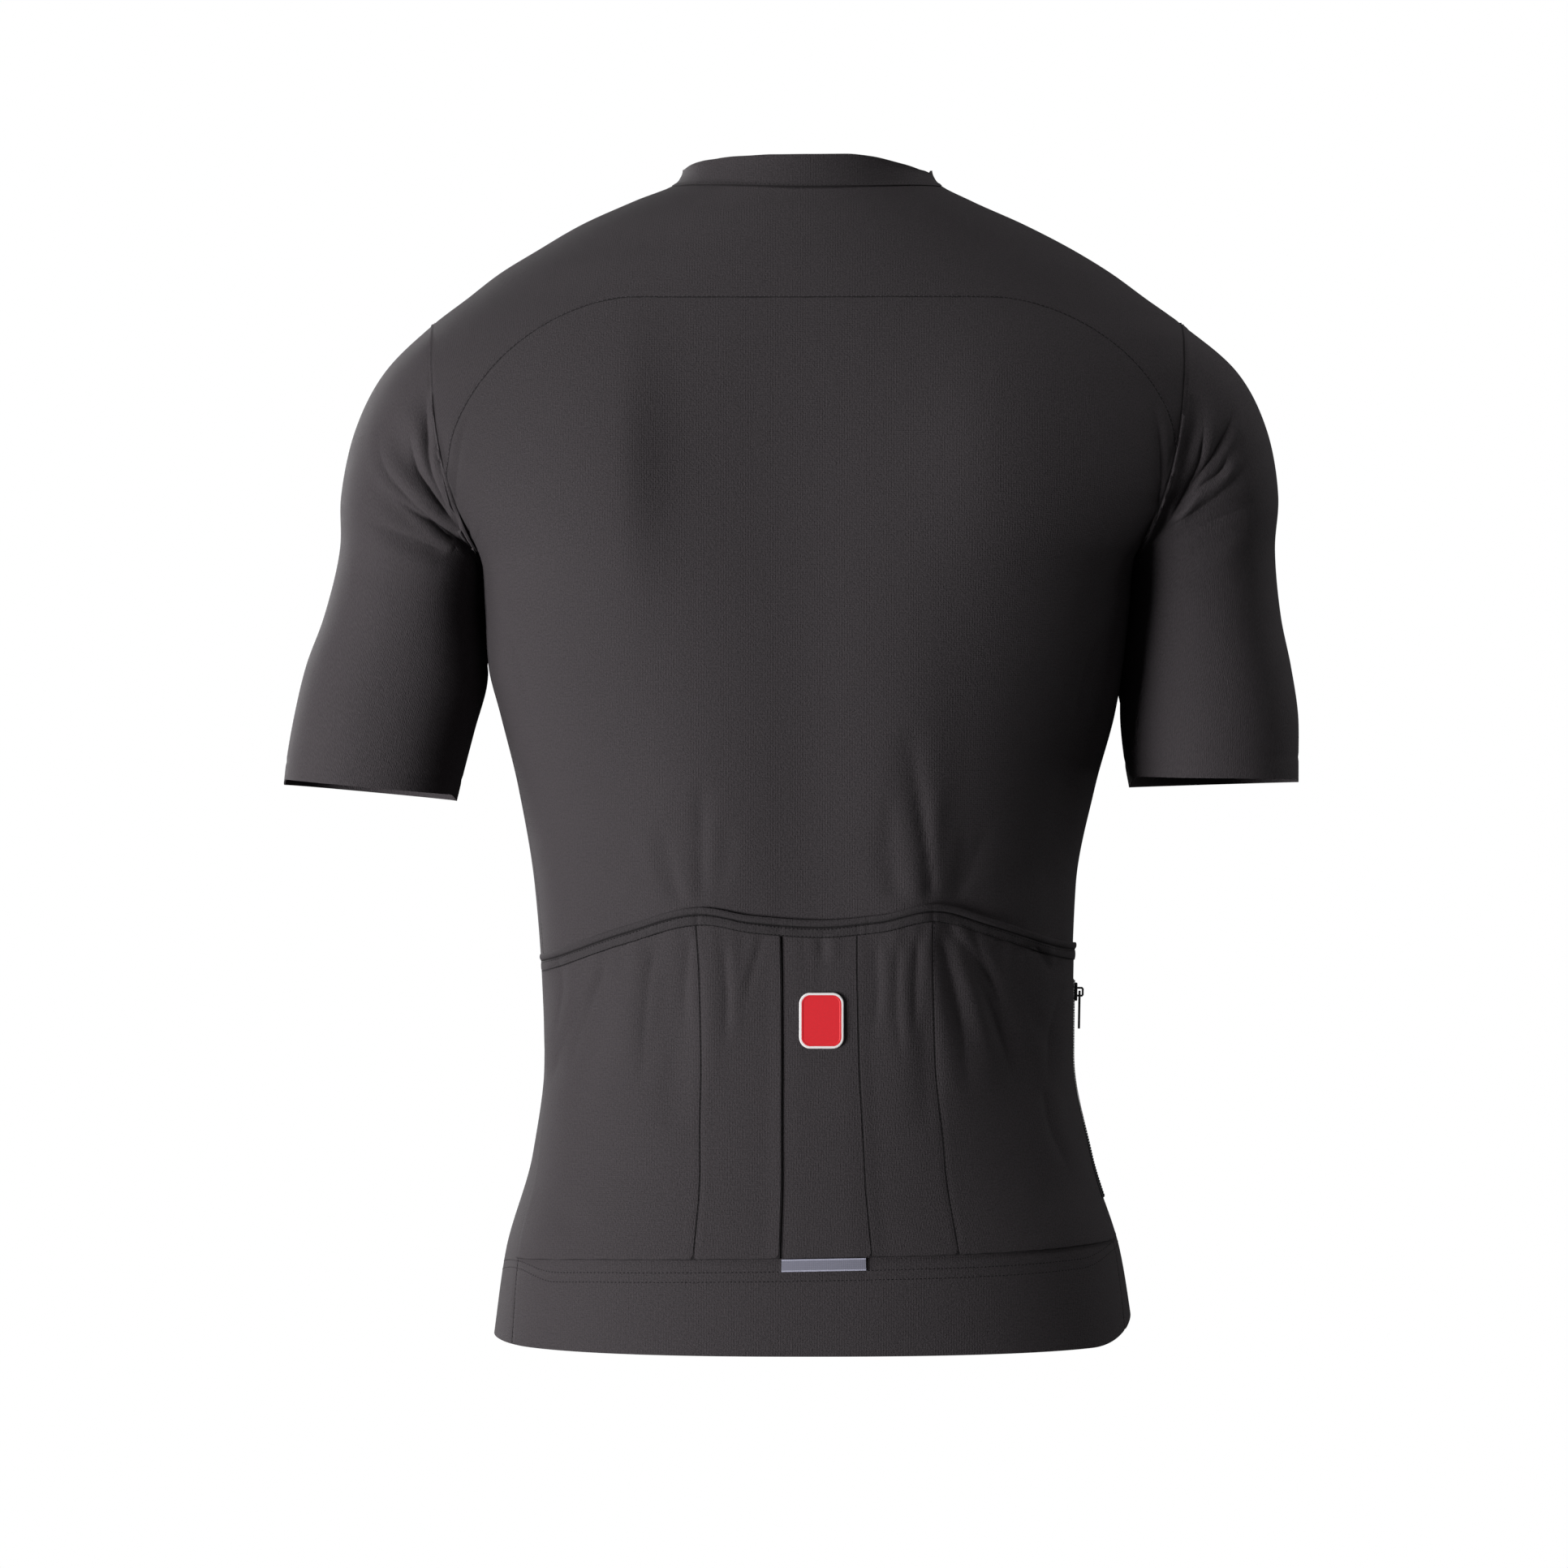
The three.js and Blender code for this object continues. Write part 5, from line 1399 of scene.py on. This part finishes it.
class JERSEY_OT_fronts(bpy.types.Operator):
    """Makes both front panels"""

    bl_idname = "jersey.fronts"
    bl_label = "Fronts"

    def execute(self, context):
        lines = seam_lines()
        for side in SIGN:
            seams = [lines[f"{k}_{side}"] for k in ("side", "armhole", "shoulder")] + [lines["neck"]]
            grids = [front_surface(side, 92, LOWER_FINE, 56)]
            cloth_shell(
                f"front_{side}_cloth", grids, [f"front_{side}"], "cloth", material_of("cloth_knit"), seams=seams,
            )
        return {"FINISHED"}


class JERSEY_OT_collar(bpy.types.Operator):
    """Makes the stand collar"""

    bl_idname = "jersey.collar"
    bl_label = "Collar"

    def execute(self, context):
        band = collar_surface(260, 14)
        cloth_shell(
            "collar_cloth", [band], ["collar"], "cloth", material_of("collar_knit"), seams=[band[0]], depth=-0.3,
            welt=-0.12, lift=0.2, thick=1.3, bare=True,
        )
        return {"FINISHED"}


class JERSEY_OT_sleeves(bpy.types.Operator):
    """Makes both sleeves"""

    bl_idname = "jersey.sleeves"
    bl_label = "Sleeves"

    def execute(self, context):
        for side in SIGN:
            grid = sleeve_surface(side, (70, 96, 8, 44), (46, 40, 26, 16, 10, 8, 8, 8, 6))
            up = np.linalg.norm(grid - grid[-1], axis=2).mean(axis=1)
            band = grid[int(np.argmin(np.abs(up - 11)))]

            def gripper(p, band=band):
                return -0.28 * np.exp(-((away_from(p, [band]) / 1.3) ** 2))

            piping = 0.1 if side == "left" else 0.4
            cloth_shell(
                f"sleeve_{side}_cloth", [grid], [f"sleeve_{side}"], "cloth", material_of("sleeve_knit"),
                seams=[grid[0]] if side == "right" else [], calm=[grid[0]], welt=piping, extra=gripper,
            )
        return {"FINISHED"}


class JERSEY_OT_pockets(bpy.types.Operator):
    """Makes the three pocket pieces and their bound edge"""

    bl_idname = "jersey.pockets"
    bl_label = "Pockets"

    def execute(self, context):
        parts = {
            "left": [("left_seam", "left_stitch", 76), ("left_stitch", "left_fold", 28)],
            "centre": [("left_fold", "right_fold", 28)],
            "right": [("right_fold", "right_stitch", 26), ("right_stitch", "right_seam", 72)],
        }
        stitches = [pocket_line("left_stitch"), pocket_line("right_stitch")]
        folds = [pocket_line("left_fold"), pocket_line("right_fold")]
        foot = back_point(np.linspace(-90, 90, 200), np.array([3.0]))[0]
        lines = seam_lines()
        for name, bands in parts.items():
            grids = [between(*band) for band in bands]
            seams = [*stitches, *folds, foot, lines["side_left"], lines["side_right"]]
            raised = -0.45 if name == "centre" else 0.5

            def fold_edge(p, raised=raised):
                away = away_from(p, folds)
                return raised * np.exp(-((away / 5.0) ** 2)) + 0.3 * np.exp(-((away / 1.5) ** 2))

            cloth_shell(
                f"pocket_{name}_cloth", grids, [f"pocket_{name}"], "cloth", material_of("cloth_knit"), lift=1.15,
                thick=0.8, seams=seams, extra=fold_edge,
            )
        edge = back_point(np.linspace(-90, 90, 361), np.linspace(13, 14, 23))

        def roll(p):
            """A rounded roll along the top edge, a furrow below it and a flatter, puckered band."""
            x = p[:, 0]
            t = 1 - (pocket_top(x) - p[:, 2]) / BINDING_HEIGHT
            top = np.sqrt(np.clip(1 - ((t - 0.81) / 0.21) ** 2, 0, 1))
            low = np.sqrt(np.clip(1 - ((t - 0.27) / 0.34) ** 4, 0, 1))
            pucker = np.sin(x / 0.95 + 1.5 * np.sin(x / 7)) * 0.5 + np.sin(x / 2.3) * 0.5
            notch = sum(np.exp(-(((x - at) / 0.9) ** 2)) for at in NOTCHES)
            return 0.9 * top + (0.45 + 0.1 * pucker) * low - 0.5 * notch * (1 - 0.6 * top)

        cloth_shell(
            "pocket_binding_cloth", [edge], ["pocket_binding"], "binding", material_of("binding_knit"), lift=1.35,
            thick=1.3, seams=[edge[0], edge[13]], depth=0.25, welt=0, extra=roll,
        )
        return {"FINISHED"}


class JERSEY_OT_trims(bpy.types.Operator):
    """Makes the reflective tab and the plain patch"""

    bl_idname = "jersey.trims"
    bl_label = "Tab and patch"

    def execute(self, context):
        across = np.linspace(POCKET_LINES["left_fold"][1], POCKET_LINES["right_fold"][1] - 0.9, 41)
        top = back_point(across, np.array([3.0]))[0]
        below = back_point(across, np.array([2.0]))[0]
        down = (below - top) / np.linalg.norm(below - top, axis=1)[:, None]
        grid = np.stack([top + down * d for d in np.linspace(6.9, 0.3, 9)])
        grid = grid[:, 1:-1]
        cloth_shell(
            "reflective_tab_film", [grid], ["reflective_tab"], "reflective", material_of("reflective_film"),
            lift=1.25, thick=0.8,
        )
        low, high = (np.array(v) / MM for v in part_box("patch"))
        middle = (low + high) / 2
        loops = []
        for inset, lift in ((0, 0), (0, 0.55), (0.35, 0.85), (2.0, 0.9), (2.3, 0.72)):
            half = (12 - inset, 15 - inset)
            loops.append(rounded_loop(half, 6 - inset, middle, low[1], high[1], lift))
        patch = loft(loops, "patch_rubber_piece")
        patch.data.materials.append(material_of("patch_rubber"))
        take_place(patch, ["patch"], "patch")
        return {"FINISHED"}


def rounded_loop(half, corner, middle, y_low, y_high, lift):
    """A rounded rectangle on the back, at a height over the face that it lies on, with its UV."""
    out = []
    for k in range(48):
        a = 2 * math.pi * (k + 0.5) / 48
        c, s = math.cos(a), math.sin(a)
        x = math.copysign(half[0] - corner, c) + corner * c
        z = math.copysign(half[1] - corner, s) + corner * s
        out.append((middle[0] + x, y_high - 0.4 - lift * (y_high - 0.4 - y_low), middle[2] + z, x, z))
    return np.array(out)


def loft(loops, name):
    """A closed piece from loops of points, capped at both ends."""
    count = len(loops[0])
    points = [p[:3] for loop in loops for p in loop]
    flat = [p[3:] for loop in loops for p in loop]
    faces = []
    for r in range(len(loops) - 1):
        for k in range(count):
            a, b = r * count + k, r * count + (k + 1) % count
            faces.append((a, b, b + count, a + count))
    faces.append(tuple(reversed(range(count))))
    faces.append(tuple(range((len(loops) - 1) * count, len(loops) * count)))
    uvs = [[np.array(flat[i]) * MM for i in face] for face in faces]
    obj = new_object(name, np.array(points), faces, uvs, smooth=False)
    tidy = bmesh.new()
    tidy.from_mesh(obj.data)
    bmesh.ops.recalc_face_normals(tidy, faces=tidy.faces)
    tidy.to_mesh(obj.data)
    tidy.free()
    return obj


class JERSEY_OT_seams(bpy.types.Operator):
    """Sews the visible rows of stitches"""

    bl_idname = "jersey.seams"
    bl_label = "Stitches"

    def execute(self, context):
        s = sizes()
        pitch, long = s.stitch_pitch * 1000, s.stitch_length * 1000
        lines = seam_lines()
        across = np.linspace(-90, 90, 400)
        body = ["back_cloth", "front_left_cloth", "front_right_cloth"]
        pockets = ["pocket_left_cloth", "pocket_centre_cloth", "pocket_right_cloth"]
        hem = [(line, 0) for line in hem_lines()]
        sides = [(lines[f"side_{side}"], 0.4 * SIGN[side]) for side in SIGN]
        shoulders = [(lines[f"shoulder_{side}"], 0.4 * SIGN[side]) for side in SIGN]
        dividers = [(pocket_line(k), 0) for k in ("left_stitch", "right_stitch")]
        band = [(back_point(across, np.array([13 + t]))[0], 0) for t in (0.08, 0.46)]
        collar = [(collar_surface(220, 12)[1], 0)]
        # Rows, the cloth they lie on, thread, slot, shares of length and pitch, width and height
        rows = {
            "hem": (hem, body, "sewing_thread", "cloth", 0.75, 0.85, 0.55, 0.2),
            "yoke": (
                [(lines["yoke"], 0.35)], ["back_cloth", "yoke_cloth"], "pale_thread", "cloth", 0.6, 1, 0.35, 0.25,
            ),
            "side": (sides, body, "sewing_thread", "cloth", 0.6, 1, 0.35, 0.25),
            "shoulder": (shoulders, body[1:], "pale_thread", "cloth", 0.6, 1, 0.35, 0.25),
            "pocket": (dividers, pockets, "sewing_thread", "cloth", 0.7, 1, 0.4, 0.25),
            "binding": (band, ["pocket_binding_cloth"], "sewing_thread", "binding", 0.7, 0.8),
            "collar": (collar, ["collar_cloth"], "sewing_thread", "cloth", 0.6, 1, 0.35, 0.25),
        }
        for name, (sewn, on, yarn, slot, length_share, pitch_share, *shape) in rows.items():
            stitch_rows(
                f"{name}_stitches", sewn, on, material_of(yarn), slot, long * length_share, pitch * pitch_share,
                *shape,
            )
        return {"FINISHED"}


class JERSEY_OT_zips(bpy.types.Operator):
    """Makes both zips' tapes and teeth and finishes the sliders and pulls"""

    bl_idname = "jersey.zips"
    bl_label = "Zips"

    def execute(self, context):
        pitch = sizes().tooth_pitch * 1000
        low = hem_height(np.array(180.0))
        z = np.linspace(float(low), float(neck_height(np.array([178.0]))[0]), 231)
        x = np.linspace(ZIP_HALF_WIDTH, -ZIP_HALF_WIDTH, 7)
        y = body_point(180.0, z)[:, 1]
        tape = spread(x, y, z)
        top = collar_surface(220, 8)[3:, -1, :]
        upper = spread(x, top[:, 1], top[:, 2])
        grid = np.concatenate([tape, upper])
        cloth_shell(
            "zip_tape_front_weave", [grid], ["zip_tape_front"], "zip_tape", material_of("zip_weave"), lift=-0.2,
            bare=True,
        )
        sides = [(grid[:, 3], shift) for shift in (0.75, -0.75)]
        coil("zip_teeth_front", sides, "zip_tape_front_weave", pitch)
        side = side_zip_grid()
        cloth_shell(
            "zip_tape_side_weave", [side], ["zip_tape_side"], "zip_tape", material_of("zip_weave"), lift=1.1,
            thick=0.8, bare=True,
        )
        coil(
            "zip_teeth_side", [(side[:, side.shape[1] // 2], shift) for shift in (0.75, -0.75)],
            "zip_tape_side_weave", pitch,
        )
        for name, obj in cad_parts.items():
            if name.startswith(("zip_slider", "zip_pull")):
                obj.data.materials.clear()
                obj.data.materials.append(material_of("satin_metal"))
        return {"FINISHED"}


def side_zip_grid():
    """The side zip's tape on the right front, beside the side seam."""
    z = np.linspace(-560, -440, 61)[:, None]
    start = seam_angle["right"](z)
    end = front_angle_at("right", ZIP_HALF_WIDTH, z)
    share = lerp(0.1, 0.75, np.linspace(0, 1, 9)) / 12
    return body_point(lerp(start, end, share), z)


def coil(name, rows, shell, pitch):
    """Zip teeth as small ovals across the tape, half a pitch apart from side to side."""
    places, along = [], []
    for k, (line, shift) in enumerate(rows):
        p, a = along_line(line, pitch, 0.5 + 0.5 * k)
        _, n = on_shells(p, [shell])
        places.append(p + np.cross(n, a) * shift)
        along.append(np.cross(n, a))
    places, out = on_shells(np.concatenate(places), [shell])
    return set_on_points(
        name, places + out * 0.3, np.concatenate(along), out, (2.1, 0.85, 0.9), material_of("zip_coil"), "zip_tape",
    )


class JERSEY_OT_stage(bpy.types.Operator):
    """Sets up the floor, the lights and the camera"""

    bl_idname = "jersey.stage"
    bl_label = "Stage"

    def execute(self, context):
        studio = context.scene.jersey_studio
        corners = [(x, y, -1900) for x, y in ((-7000, -7000), (7000, -7000), (7000, 7000), (-7000, 7000))]
        floor = new_object("floor", corners, [(0, 1, 2, 3)])
        floor.data.materials.append(material_of("floor_paper"))
        floor.visible_diffuse = floor.visible_glossy = False
        world = bpy.data.worlds.new("studio")
        world.use_nodes = True
        back = world.node_tree.nodes["Background"]
        back.inputs[0].default_value = (1, 1, 1, 1)
        path = world.node_tree.nodes.new("ShaderNodeLightPath")
        level = world.node_tree.nodes.new("ShaderNodeMath")
        level.operation = "MULTIPLY_ADD"
        level.inputs[1].default_value = 1 - studio.surround
        level.inputs[2].default_value = studio.surround
        world.node_tree.links.new(path.outputs["Is Camera Ray"], level.inputs[0])
        world.node_tree.links.new(level.outputs[0], back.inputs[1])
        context.scene.world = world
        middle = (0, 0, -0.33)
        for name, turn, up, power, size in (
            ("key_light", -54, -12, studio.key_power, 1.3),
            ("rim_light", -88, 6, studio.key_power * 0.15, 1.0),
            ("top_light", 50, 79, studio.top_power, 1.5),
            ("fill_light", 62, 4, studio.fill_power, 1.6),
            ("right_light", 104, 8, studio.front_power * 0.35, 1.6),
            ("front_light", -146, 14, studio.front_power * 1.3, 1.2),
        ):
            soft_light(name, turn, up, middle, power, size)
        context.scene.view_settings.view_transform = "Standard"
        camera = bpy.data.cameras.new("photo_camera")
        camera.sensor_width = 36
        camera.lens = studio.pixels_away / 1932 * 36
        camera.clip_end = 50
        holder = bpy.data.objects.new("photo_camera", camera)
        holder.location = (-0.013, -studio.camera_away, -0.332)
        holder.rotation_euler = (math.pi / 2, 0, 0)
        context.scene.collection.objects.link(holder)
        context.scene.camera = holder
        return {"FINISHED"}


def soft_light(name, turn, up, target, power, size):
    """An area light 3 m from the target, turned round it from the camera's side and raised, in degrees."""
    light = bpy.data.lights.new(name, "AREA")
    light.energy = power
    light.size = size
    light.spread = math.radians(100)
    obj = bpy.data.objects.new(name, light)
    a, b = math.radians(turn), math.radians(up)
    away = 3 * np.array([math.sin(a) * math.cos(b), -math.cos(a) * math.cos(b), math.sin(b)])
    obj.location = np.array(target) + away
    obj.rotation_euler = (math.pi / 2 - b, 0, a)
    bpy.context.scene.collection.objects.link(obj)
    return obj


class JERSEY_PT_panel(bpy.types.Panel):
    """The jersey's pieces in the sidebar"""

    bl_idname = "JERSEY_PT_panel"
    bl_label = "Jersey"
    bl_space_type = "VIEW_3D"
    bl_region_type = "UI"
    bl_category = "Jersey"

    def draw(self, context):
        for group in (context.scene.jersey_sizes, context.scene.jersey_colours, context.scene.jersey_studio):
            box = self.layout.box()
            for key in group.__annotations__:
                box.prop(group, key)
        for operator in OPERATORS:
            self.layout.operator(operator.bl_idname)


OPERATORS = (
    JERSEY_OT_back,
    JERSEY_OT_yoke,
    JERSEY_OT_fronts,
    JERSEY_OT_collar,
    JERSEY_OT_sleeves,
    JERSEY_OT_pockets,
    JERSEY_OT_trims,
    JERSEY_OT_zips,
    JERSEY_OT_seams,
    JERSEY_OT_stage,
)
GROUPS = {"jersey_sizes": JerseySizes, "jersey_colours": JerseyColours, "jersey_studio": JerseyStudio}


def register():
    for group in GROUPS.values():
        bpy.utils.register_class(group)
    for name, group in GROUPS.items():
        setattr(bpy.types.Scene, name, bpy.props.PointerProperty(type=group))
    for item in (*OPERATORS, JERSEY_PT_panel):
        bpy.utils.register_class(item)


def unregister():
    for item in (JERSEY_PT_panel, *reversed(OPERATORS)):
        bpy.utils.unregister_class(item)
    for name in GROUPS:
        delattr(bpy.types.Scene, name)
    for group in GROUPS.values():
        bpy.utils.unregister_class(group)


def main():
    register()
    for operator in OPERATORS:
        group, name = operator.bl_idname.split(".")
        getattr(getattr(bpy.ops, group), name)()


if __name__ == "__main__":
    main()
